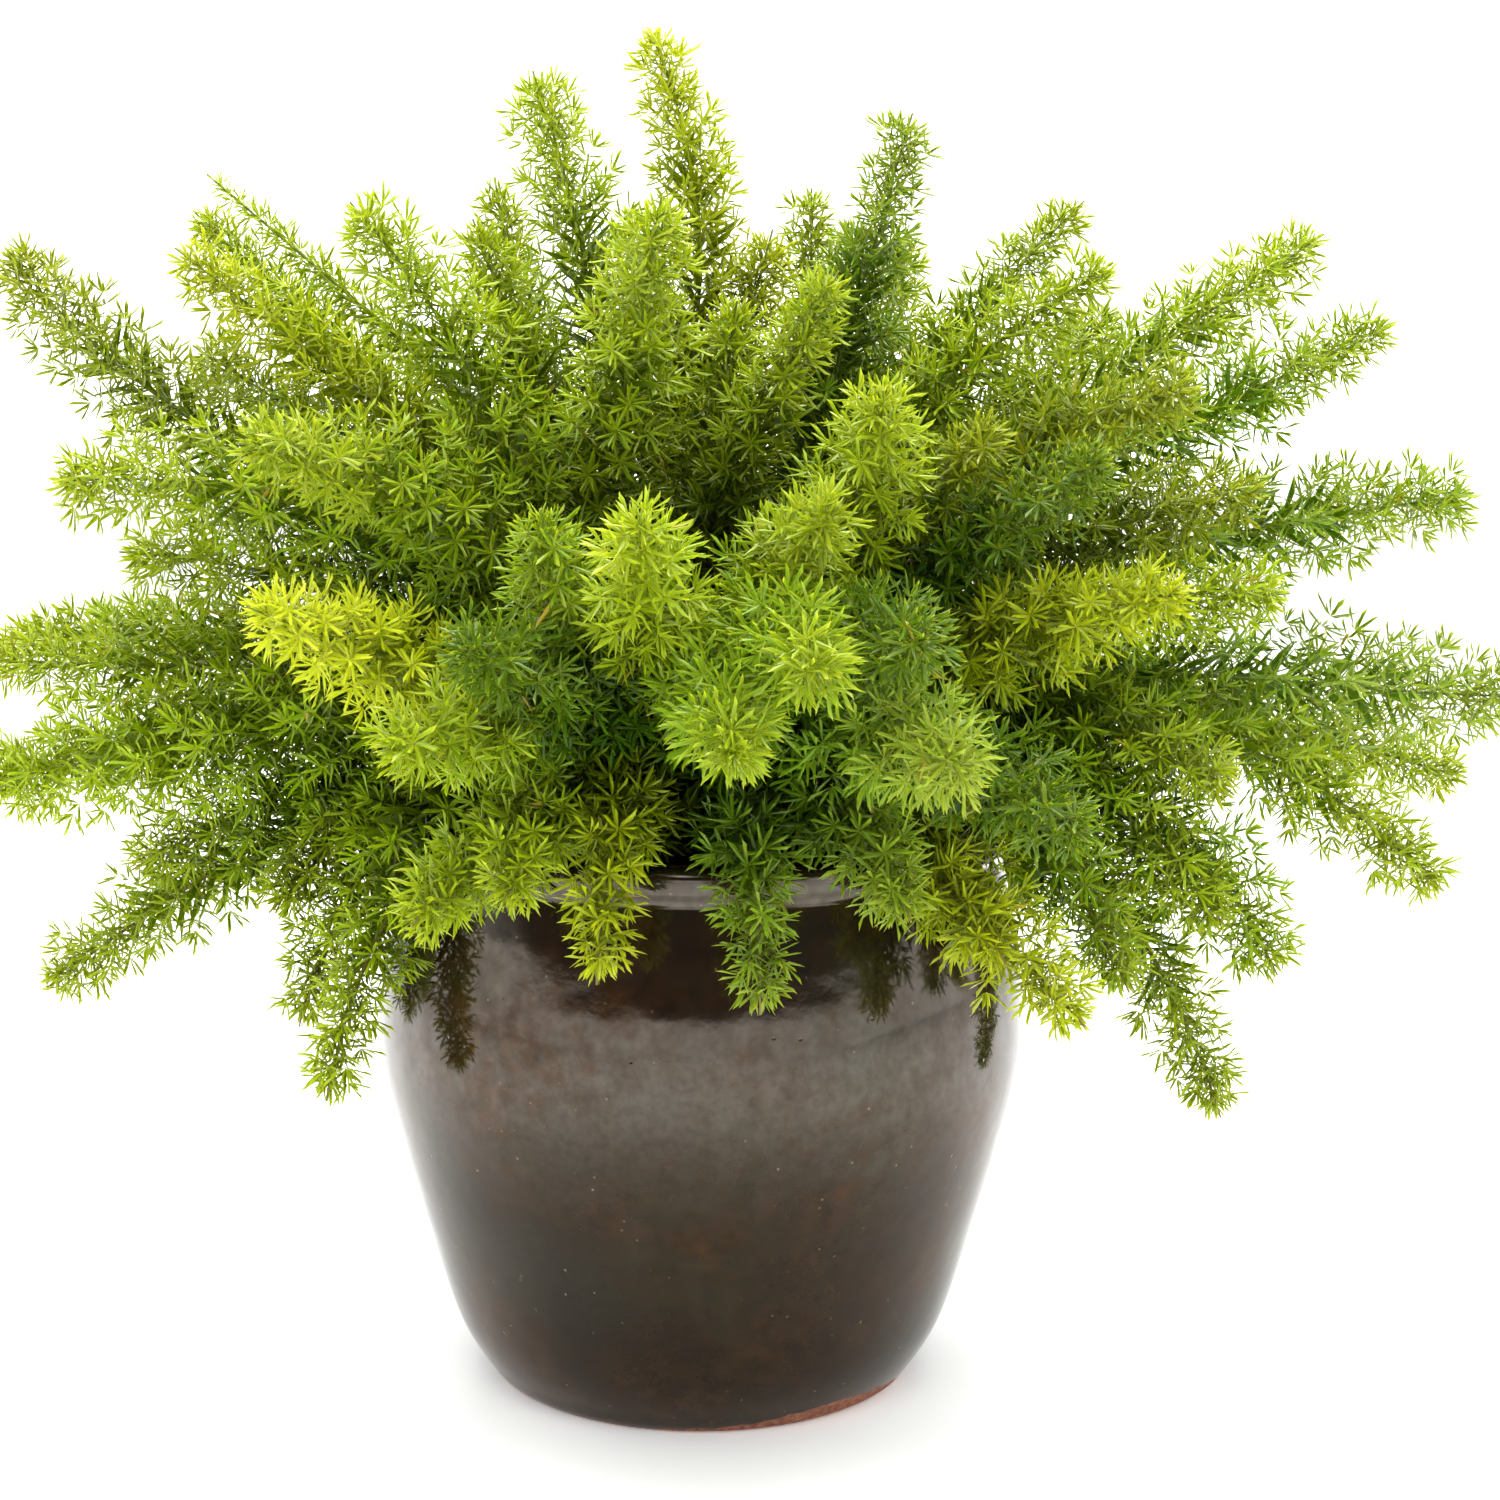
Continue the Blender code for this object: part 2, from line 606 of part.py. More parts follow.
def build_pot(collection, cutters):
    for number in range(DRAIN_COUNT):
        angle = 2 * math.pi * (number + 0.5) / DRAIN_COUNT
        mesh = bmesh.new()
        bmesh.ops.create_cone(
            mesh, cap_ends=True, segments=DRAIN_SIDES, radius1=DRAIN_RADIUS * MM, radius2=DRAIN_RADIUS * MM,
            depth=4 * FLOOR_TOP * MM,
        )
        place = Vector((DRAIN_CIRCLE * math.cos(angle), DRAIN_CIRCLE * math.sin(angle), 0)) * MM
        bmesh.ops.translate(mesh, vec=place, verts=mesh.verts[:])
        add_object(f"drain_hole_{number + 1}", mesh, cutters)
    hide_cutters(cutters)
    section = [(0, FLOOR_TOP)] + POT_INSIDE + POT_OUTSIDE + [(0, 0)]
    glaze = make_material("brown_glazed_stoneware", GLAZE, GLAZE_ROUGHNESS)
    pot = turned_object("pot", section, collection, glaze)
    cut_with(pot, cutters)


def inside_radius(height):
    return np.interp(height, [z for _, z in POT_INSIDE], [radius for radius, _ in POT_INSIDE])


def build_soil(routes, collection, cutters):
    for name, route in routes.items():
        if any(plume.name == name and plume.shares for plume in PLUMES):
            continue
        up = np.array([0.0, 0.0, 1.0])
        side = np.array([1.0, 0.0, 0.0])
        radius = FOOT_RADIUS + 2 * FIT_GAP
        bottom = route[0] - up * HOLE_DEPTH
        top = route[0] + up * HOLE_DEPTH
        mesh = bmesh.new()
        add_tube(mesh, [Ring(place, up, side, radius, 0.0, 0.0) for place in (bottom, top)])
        add_object(f"hole_{name}", mesh, cutters)
    hide_cutters(cutters)
    bottom = FLOOR_TOP + SOIL_GAP
    heights = [SOIL_TOP] + [z for _, z in POT_INSIDE[::-1] if FLOOR_TOP < z < SOIL_TOP] + [bottom]
    side = [(inside_radius(z) - SOIL_GAP, z) for z in heights]
    section = [(0, SOIL_TOP)] + side + [(0, bottom)]
    crumb = make_material("potting_soil", SOIL, SOIL_ROUGHNESS)
    soil = turned_object("soil", section, collection, crumb)
    cut_with(soil, cutters)


def build_fern():
    for thing in bpy.data.objects[:]:
        bpy.data.objects.remove(thing)
    fern = new_collection("potted_foxtail_fern", bpy.context.scene.collection)
    cutters = new_collection("cutters", bpy.context.scene.collection)
    roots = share_out_roots()
    routes = bend_clear({plume.name: arched_route(plume, roots[plume.name]) for plume in PLUMES})
    build_pot(fern, new_collection("drain_cutters", cutters))
    build_soil(routes, fern, new_collection("hole_cutters", cutters))
    for plume in PLUMES:
        if not plume.shares:
            build_plume(plume, routes, fern)


build_fern()
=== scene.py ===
# Potted foxtail fern: a brown glazed pot, potting mix, and arching plumes of fine needle leaves.
# Lengths in the tables are millimetres, colours are sRGB hex, and z points up from the pot's foot.
import math
from collections import namedtuple

import bmesh
import bpy
import numpy as np
from mathutils import Matrix, Vector, noise


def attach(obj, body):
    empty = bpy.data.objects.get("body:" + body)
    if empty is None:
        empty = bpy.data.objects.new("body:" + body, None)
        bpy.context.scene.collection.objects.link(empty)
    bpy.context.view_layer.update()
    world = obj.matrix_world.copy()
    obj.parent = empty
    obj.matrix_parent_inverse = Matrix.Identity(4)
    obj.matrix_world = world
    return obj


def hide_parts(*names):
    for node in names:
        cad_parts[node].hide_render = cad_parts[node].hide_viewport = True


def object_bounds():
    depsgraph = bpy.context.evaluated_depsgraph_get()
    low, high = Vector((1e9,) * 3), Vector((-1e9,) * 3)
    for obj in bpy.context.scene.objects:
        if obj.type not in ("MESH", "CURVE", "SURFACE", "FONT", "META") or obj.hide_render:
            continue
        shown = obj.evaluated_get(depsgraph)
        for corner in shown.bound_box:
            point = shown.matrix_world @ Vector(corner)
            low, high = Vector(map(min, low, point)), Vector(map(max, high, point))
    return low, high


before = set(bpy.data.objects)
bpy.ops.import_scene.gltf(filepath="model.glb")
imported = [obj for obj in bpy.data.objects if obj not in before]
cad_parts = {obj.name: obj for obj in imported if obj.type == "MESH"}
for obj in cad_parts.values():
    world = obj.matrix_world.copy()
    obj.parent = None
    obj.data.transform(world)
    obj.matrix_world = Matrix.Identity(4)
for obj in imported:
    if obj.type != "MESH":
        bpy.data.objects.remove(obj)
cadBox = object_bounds()
mm = 0.001
print("frame:", len(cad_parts), "nodes")


# Picking things, as with the mouse

def deselectAll():
    bpy.ops.object.select_all(action="DESELECT")


def pickOnly(things):
    deselectAll()
    for thing in things:
        thing.select_set(True)
    bpy.context.view_layer.objects.active = things[0]


def newest(name):
    thing = bpy.context.object
    thing.name = name
    thing.data.name = name
    return thing


def newObject(name, data):
    thing = bpy.data.objects.new(name, data)
    bpy.context.scene.collection.objects.link(thing)
    return thing


def addAttribute(thing, name, kind, values):
    # One value, or one vector, for each corner
    attribute = thing.data.attributes.new(name, kind, "POINT")
    key = {"FLOAT": "value", "FLOAT_VECTOR": "vector"}[kind]
    attribute.data.foreach_set(key, values.astype(np.float32).ravel())


def selectWhere(thing, kind, test):
    # In edit mode, selects only the verts, edges or faces that pass the test
    bpy.ops.mesh.select_mode(type={"verts": "VERT", "edges": "EDGE", "faces": "FACE"}[kind])
    bpy.ops.mesh.select_all(action="DESELECT")
    shape = bmesh.from_edit_mesh(thing.data)
    for item in getattr(shape, kind):
        if test(item):
            item.select_set(True)
    shape.select_flush_mode()
    bmesh.update_edit_mesh(thing.data)


def joinAll(things, name):
    pickOnly(things)
    if len(things) > 1:
        bpy.ops.object.join()
    return newest(name)


def applyPlace(thing):
    pickOnly([thing])
    bpy.ops.object.transform_apply(location=True, rotation=True, scale=True)


def dropIn(name, thing, node):
    # A finished piece rides with the pot and stands for its solid
    thing.name = name
    thing.data.name = name
    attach(thing, "root")
    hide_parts(node)


# Colours and shader nodes

def hexColour(text):
    values = [int(text[i:i + 2], 16) / 255 for i in (1, 3, 5)]
    return [v / 12.92 if v <= 0.04045 else ((v + 0.055) / 1.055) ** 2.4 for v in values] + [1.0]


def addNode(tree, kind, settings=None, links=None):
    node = tree.nodes.new("ShaderNode" + kind)
    for key, value in (settings or {}).items():
        if isinstance(key, int) or key in node.inputs:
            node.inputs[key].default_value = value
        else:
            setattr(node, key, value)
    for key, socket in (links or {}).items():
        tree.links.new(socket, node.inputs[key])
    return node


def newMaterial(name):
    material = bpy.data.materials.new(name)
    material.use_nodes = True
    tree = material.node_tree
    tree.nodes.clear()
    return material, tree


def finishMaterial(tree, surface):
    addNode(tree, "OutputMaterial", {}, {"Surface": surface.outputs[0]})


def blendColours(tree, factor, low, high):
    # Each end is a hex colour or a socket
    node = addNode(tree, "Mix", {"data_type": "RGBA"}, {0: factor})
    for place, end in ((6, low), (7, high)):
        if isinstance(end, str):
            node.inputs[place].default_value = hexColour(end)
        else:
            tree.links.new(end, node.inputs[place])
    return node.outputs[2]


def ranged(tree, value, low, high, start=0.0, end=1.0):
    settings = {"From Min": low, "From Max": high, "To Min": start, "To Max": end}
    return addNode(tree, "MapRange", settings, {"Value": value}).outputs[0]


def noiseAt(tree, place, period, detail=3.0, shift=(0, 0, 0)):
    # period is the pattern's size in millimetres
    moved = addNode(tree, "Mapping", {"Location": shift}, {"Vector": place})
    settings = {"Scale": 1 / (period * mm), "Detail": detail}
    return addNode(tree, "TexNoise", settings, {"Vector": moved.outputs[0]}).outputs[0]


def sums(tree, operation, first, second):
    node = addNode(tree, "Math", {"operation": operation})
    for place, value in enumerate((first, second)):
        if isinstance(value, (int, float)):
            node.inputs[place].default_value = value
        else:
            tree.links.new(value, node.inputs[place])
    return node.outputs[0]


# Turned forms: the pot and the potting mix

def smoothProfile(points, step):
    # A smooth line through the listed corners
    points = np.array(points, float)
    padded = np.concatenate([points[:1], points, points[-1:]])
    line = []
    for i in range(len(points) - 1):
        before, a, b, after = padded[i:i + 4]
        count = max(2, math.ceil(np.linalg.norm(b - a) / step))
        for t in np.arange(count) / count:
            line.append(
                0.5 * (2 * a + (b - before) * t + (2 * before - 5 * a + 4 * b - after) * t ** 2
                       + (3 * a - before - 3 * b + after) * t ** 3)
            )
    line.append(points[-1])
    return line


def closeRing(form, height, radius):
    # Draws a ring of open edges in to a point on the axis
    def onRing(edge):
        middle = (edge.verts[0].co + edge.verts[1].co) / 2
        return edge.is_boundary and abs(middle.z - height) < 1e-5 and abs(middle.xy.length - radius) < 1e-3
    selectWhere(form, "edges", onRing)
    bpy.ops.mesh.extrude_edges_move(TRANSFORM_OT_translate={"value": (0, 0, 0)})
    bpy.ops.mesh.merge(type="CENTER")


def turnForm(name, profile, sides):
    # A ring is extruded and resized from corner to corner of the profile, then both ends are closed
    deselectAll()
    radius, height = profile[0]
    bpy.ops.mesh.primitive_circle_add(vertices=sides, radius=radius * mm, location=(0, 0, 0))
    form = newest(name)
    bpy.ops.object.mode_set(mode="EDIT")
    bpy.ops.mesh.select_all(action="SELECT")
    bpy.ops.transform.translate(value=(0, 0, height * mm))
    for nextRadius, nextHeight in profile[1:]:
        rise = (0, 0, (nextHeight - height) * mm)
        bpy.ops.mesh.extrude_edges_move(TRANSFORM_OT_translate={"value": rise})
        grow = nextRadius / radius
        bpy.ops.transform.resize(value=(grow, grow, 1))
        radius, height = nextRadius, nextHeight
    closeRing(form, profile[0][1] * mm, profile[0][0] * mm)
    closeRing(form, height * mm, radius * mm)
    bpy.ops.mesh.select_all(action="SELECT")
    bpy.ops.mesh.normals_make_consistent(inside=False)
    bpy.ops.object.mode_set(mode="OBJECT")
    return form


# The pot

potLook = {
    "sides": 128,
    "inside": [(97, 15), (112, 30), (128, 80), (144, 130), (151, 165), (151, 200), (145, 235), (139, 268)],
    "rim": [(139.5, 276), (141, 281), (143.5, 284), (147, 285), (151, 284), (153.6, 281), (154, 276),
            (153.4, 272)],
    "neck": [(151.6, 270), (151, 267)],
    "outside": [(151.5, 265), (154.5, 252), (158, 235), (164, 200), (164, 165), (156, 130), (141, 80),
                (125, 30), (110, 5)],
    "foot": [(107.5, 2), (105, 0.4), (103, 0)],
    "bodyStep": 6,
    "rimStep": 1.6,
    "drains": 3,
    "drainRadius": 7,
    "drainCircle": 52,
    "drainSides": 28,
    "glazeEdge": 1.2,       # how high above the foot the glaze usually stops
    "bareRise": 9.0,        # and how much higher it stops where it was wiped thinnest
    "barePlace": -52,       # degrees round from +x
    "bareSpread": 30,
    "bareInside": [(101, 15), (116, 30), (132, 80), (148, 130), (155, 165), (155, 200), (148, 235),
                   (143, 268), (145, 281), (147.5, 285)],
    "darkGlaze": "#1b150e",
    "rustGlaze": "#4a3018",
    "greenGlaze": "#24261c",
    "speck": "#9a8468",
    "lustre": "#fff6e8",    # tint of what the glaze mirrors, darkened low down as painted shade,
    "lustreShadedLow": "#a89c8e",
    "lustreRust": "#8f6c4c",                # browner over the rust patches
    "lustreDull": "#7c776c",                # and dulled by fine grain all over
    "clay": "#aa7a63",
    "clayDark": "#7d5243",
}


def modelPot(look):
    profile = smoothProfile(look["inside"], look["bodyStep"])
    profile += smoothProfile(look["rim"], look["rimStep"])
    profile += smoothProfile(look["neck"], look["rimStep"])
    profile += smoothProfile(look["outside"], look["bodyStep"])
    profile += smoothProfile(look["foot"], look["rimStep"])
    pot = turnForm("glazed_pot", profile, look["sides"])
    cutters = []
    for number in range(look["drains"]):
        angle = 2 * math.pi * (number + 0.5) / look["drains"]
        place = (look["drainCircle"] * math.cos(angle) * mm, look["drainCircle"] * math.sin(angle) * mm, 0)
        deselectAll()
        bpy.ops.mesh.primitive_cylinder_add(
            vertices=look["drainSides"], radius=look["drainRadius"] * mm, depth=60 * mm, location=place)
        cutters.append(bpy.context.object)
    drill = joinAll(cutters, "drain_drill")
    applyPlace(drill)
    pickOnly([pot])
    cut = pot.modifiers.new("drains", "BOOLEAN")
    cut.object = drill
    cut.solver = "EXACT"
    bpy.ops.object.modifier_apply(modifier="drains")
    bpy.data.objects.remove(drill)
    bpy.ops.object.shade_smooth_by_angle(angle=math.radians(40))
    markBareClay(pot, look)
    return pot


def markBareClay(pot, look):
    # One on bare clay, nought on glaze, and between the two across the glaze's edge
    places = np.array([corner.co for corner in pot.data.vertices]) / mm
    radius = np.hypot(places[:, 0], places[:, 1])
    angle = np.degrees(np.arctan2(places[:, 1], places[:, 0]))
    away = (angle - look["barePlace"] + 180) % 360 - 180
    edge = look["glazeEdge"] + look["bareRise"] * np.exp(-(away / look["bareSpread"]) ** 2)
    foot = np.clip((edge - places[:, 2]) / 6 + 0.5, 0, 1)
    edgeRadii, edgeHeights = zip(*look["bareInside"])
    inside = np.clip((np.interp(places[:, 2], edgeHeights, edgeRadii) - radius) / 3 + 0.5, 0, 1)
    addAttribute(pot, "bareClay", "FLOAT", np.maximum(foot, inside))


def stonewareGlaze(look):
    # Iron glaze over thrown stoneware, fired glossy: mirror-like, nearly black, rust where it is thin,
    # greenish where it pools, with sparse specks and pinholes. Clay is bare at the foot and inside.
    material, tree = newMaterial("iron_glazed_stoneware")
    place = addNode(tree, "TexCoord").outputs["Object"]
    rust = ranged(tree, noiseAt(tree, place, 95, 5, (0.31, 0.12, 0.05)), 0.38, 0.72)
    pooled = ranged(tree, noiseAt(tree, place, 75, 3, (0.9, 0.4, 0.2)), 0.48, 0.68)
    mottle = ranged(tree, noiseAt(tree, place, 9, 8), 0.25, 0.8)
    rustLook = blendColours(tree, mottle, look["darkGlaze"], look["rustGlaze"])
    colour = blendColours(tree, rust, look["darkGlaze"], rustLook)
    colour = blendColours(tree, sums(tree, "MULTIPLY", pooled, 0.7), colour, look["greenGlaze"])
    cells = addNode(tree, "TexVoronoi", {"Scale": 1 / (7 * mm)}, {"Vector": place})
    speck = ranged(tree, cells.outputs["Distance"], 0.13, 0.06)
    lots = addNode(tree, "SeparateXYZ", {}, {0: cells.outputs["Color"]})
    speck = sums(tree, "MULTIPLY", speck, ranged(tree, lots.outputs[0], 0.65, 1.0, 0.0, 0.55))
    colour = blendColours(tree, speck, colour, look["speck"])
    clayGrain = noiseAt(tree, place, 3, 6)
    clay = blendColours(tree, ranged(tree, clayGrain, 0.35, 0.7), look["clayDark"], look["clay"])
    bare = addNode(tree, "Attribute", {"attribute_name": "bareClay"}).outputs["Fac"]
    ragged = sums(tree, "ADD", bare, ranged(tree, noiseAt(tree, place, 9, 5), 0, 1, -0.45, 0.45))
    bareness = ranged(tree, ragged, 0.45, 0.58)
    colour = blendColours(tree, bareness, colour, clay)
    gloss = ranged(tree, noiseAt(tree, place, 22, 4), 0.3, 0.7, 0.05, 0.10)
    rough = addNode(tree, "Mix", {"data_type": "FLOAT", 3: 0.85}, {0: bareness, 2: gloss}).outputs[0]
    sway = noiseAt(tree, place, 42, 2, (0.2, 0.7, 0.1))
    peel = noiseAt(tree, place, 5, 2)
    swayBump = addNode(tree, "Bump", {"Strength": 1.0, "Distance": 0.5 * mm}, {"Height": sway})
    peelBump = addNode(tree, "Bump", {"Strength": 1.0, "Distance": 0.03 * mm},
                       {"Height": peel, "Normal": swayBump.outputs[0]})
    pits = addNode(tree, "TexVoronoi", {"Scale": 1 / (17 * mm)}, {"Vector": place})
    pit = ranged(tree, pits.outputs["Distance"], 0.02, 0.06)
    pitBump = addNode(tree, "Bump", {"Strength": 0.8, "Distance": 0.25 * mm},
                      {"Height": pit, "Normal": peelBump.outputs[0]})
    grainBump = addNode(tree, "Bump", {"Distance": 0.3 * mm},
                        {"Height": clayGrain, "Strength": bareness, "Normal": pitBump.outputs[0]})
    height = addNode(tree, "SeparateXYZ", {}, {0: place}).outputs[2]
    # Painted shade: the glaze's reflection is tinted darker towards the foot
    lustre = blendColours(tree, ranged(tree, height, 115 * mm, 205 * mm), look["lustreShadedLow"], look["lustre"])
    spotted = ranged(tree, noiseAt(tree, place, 12, 7, (0.5, 0.2, 0.8)), 0.35, 0.75)
    lustre = blendColours(tree, sums(tree, "MULTIPLY", rust, spotted), lustre, look["lustreRust"])
    dull = ranged(tree, noiseAt(tree, place, 4, 9, (0.1, 0.6, 0.3)), 0.35, 0.8, 0.0, 0.42)
    lustre = blendColours(tree, dull, lustre, look["lustreDull"])
    normal = grainBump.outputs[0]
    links = {"Base Color": colour, "Roughness": rough, "Specular Tint": lustre, "Normal": normal}
    surface = addNode(tree, "BsdfPrincipled", {"IOR": 1.65, "Specular IOR Level": 0.72}, links)
    finishMaterial(tree, surface)
    return material


pot = modelPot(potLook)
pot.data.materials.clear()
pot.data.materials.append(stonewareGlaze(potLook))
dropIn("glazed_pot", pot, "pot")
print("pot:", len(pot.data.polygons), "faces")


# The potting mix

soilLook = {
    "sides": 72,
    "top": 262,
    "gap": 0.4,
    "side": [(97, 15.4)] + potLook["inside"][1:-1] + [(140.2, 262)],
    "ringStep": 7,
    "relief": 3.0,
    "crumbs": 520,
    "crumbSizes": (1.6, 4.6),
    "barkShare": 0.3,
    "seed": 11,
    "peat": "#2a1c13",
    "peatLight": "#4a3524",
    "bark": "#6a452b",
}


def modelCrumb(number):
    # A broken bit of bark or peat, flattened and knocked off round
    deselectAll()
    bpy.ops.mesh.primitive_ico_sphere_add(subdivisions=1, radius=1 * mm, location=(0, 0, 0))
    crumb = newest(f"crumb_{number}")
    bpy.ops.object.mode_set(mode="EDIT")
    bpy.ops.mesh.select_all(action="SELECT")
    bpy.ops.transform.resize(value=(1.25, 0.85, 0.6))
    bpy.ops.transform.vertex_random(offset=0.35 * mm, seed=number + 1)
    bpy.ops.object.mode_set(mode="OBJECT")
    return crumb


def meshArrays(thing):
    thing.data.calc_loop_triangles()
    corners = np.array([corner.co for corner in thing.data.vertices])
    faces = np.array([triangle.vertices for triangle in thing.data.loop_triangles])
    return corners, faces


def meshFrom(name, corners, faces):
    data = bpy.data.meshes.new(name)
    data.from_pydata(corners.tolist(), [], faces.tolist())
    return newObject(name, data)


def modelSoil(look):
    profile = [(radius - look["gap"], height) for radius, height in smoothProfile(look["side"][:-1], 12)]
    profile.append((look["side"][-1][0] - look["gap"], look["side"][-1][1]))
    radius = profile[-1][0] - look["ringStep"]
    while radius > look["ringStep"]:
        profile.append((radius, look["top"]))
        radius -= look["ringStep"]
    soil = turnForm("potting_mix", profile, look["sides"])
    for corner in soil.data.vertices:
        if corner.co.z > (look["top"] - 1) * mm and corner.co.xy.length < 139 * mm:
            wave = noise.noise(corner.co * 45) + 0.6 * noise.noise(corner.co * 140)
            corner.co.z += (wave - 0.8) * look["relief"] * mm * 0.6
    crumbs = [modelCrumb(number) for number in range(5)]
    shapes = [meshArrays(crumb) for crumb in crumbs]
    draw = np.random.default_rng(look["seed"])
    corners, faces, tones, start = [], [], [], 0
    for _ in range(look["crumbs"]):
        radius = 136 * math.sqrt(draw.random())
        angle = draw.random() * 2 * math.pi
        size = draw.uniform(*look["crumbSizes"]) * (1.6 if draw.random() < 0.12 else 1)
        spin = Matrix.Rotation(draw.random() * 2 * math.pi, 3, "Z")
        turn = spin @ Matrix.Rotation(draw.random() * 1.2, 3, "X")
        shape, triangles = shapes[draw.integers(len(shapes))]
        place = np.array([radius * math.cos(angle), radius * math.sin(angle), look["top"] - 1.2]) * mm
        corners.append(shape @ np.array(turn).T * size * 0.7 + place)
        faces.append(triangles + start)
        tones.append(np.full(len(shape), draw.random()))
        start += len(shape)
    loose = meshFrom("crumbs", np.concatenate(corners), np.concatenate(faces))
    for thing, values in ((soil, np.full(len(soil.data.vertices), 0.2)), (loose, np.concatenate(tones))):
        addAttribute(thing, "crumbTone", "FLOAT", values)
    for crumb in crumbs:
        bpy.data.objects.remove(crumb)
    return joinAll([soil, loose], "potting_mix")


def moistPeat(look):
    # Peat and composted bark, moist: dark and matt, with paler fibres and rust-brown bark bits
    material, tree = newMaterial("moist_peat_and_bark")
    place = addNode(tree, "TexCoord").outputs["Object"]
    grain = noiseAt(tree, place, 3, 6)
    colour = blendColours(tree, ranged(tree, grain, 0.35, 0.75), look["peat"], look["peatLight"])
    tone = addNode(tree, "Attribute", {"attribute_name": "crumbTone"}).outputs["Fac"]
    bark = ranged(tree, tone, 1 - look["barkShare"], 1 - look["barkShare"] + 0.1)
    colour = blendColours(tree, sums(tree, "MULTIPLY", bark, 0.8), colour, look["bark"])
    bump = addNode(tree, "Bump", {"Strength": 0.9, "Distance": 1 * mm}, {"Height": grain})
    surface = addNode(tree, "BsdfPrincipled", {"IOR": 1.45, "Roughness": 0.9},
                      {"Base Color": colour, "Normal": bump.outputs[0]})
    finishMaterial(tree, surface)
    return material


soil = modelSoil(soilLook)
soil.data.materials.clear()
soil.data.materials.append(moistPeat(soilLook))
dropIn("potting_mix", soil, "soil")
print("potting mix:", len(soil.data.polygons), "faces")
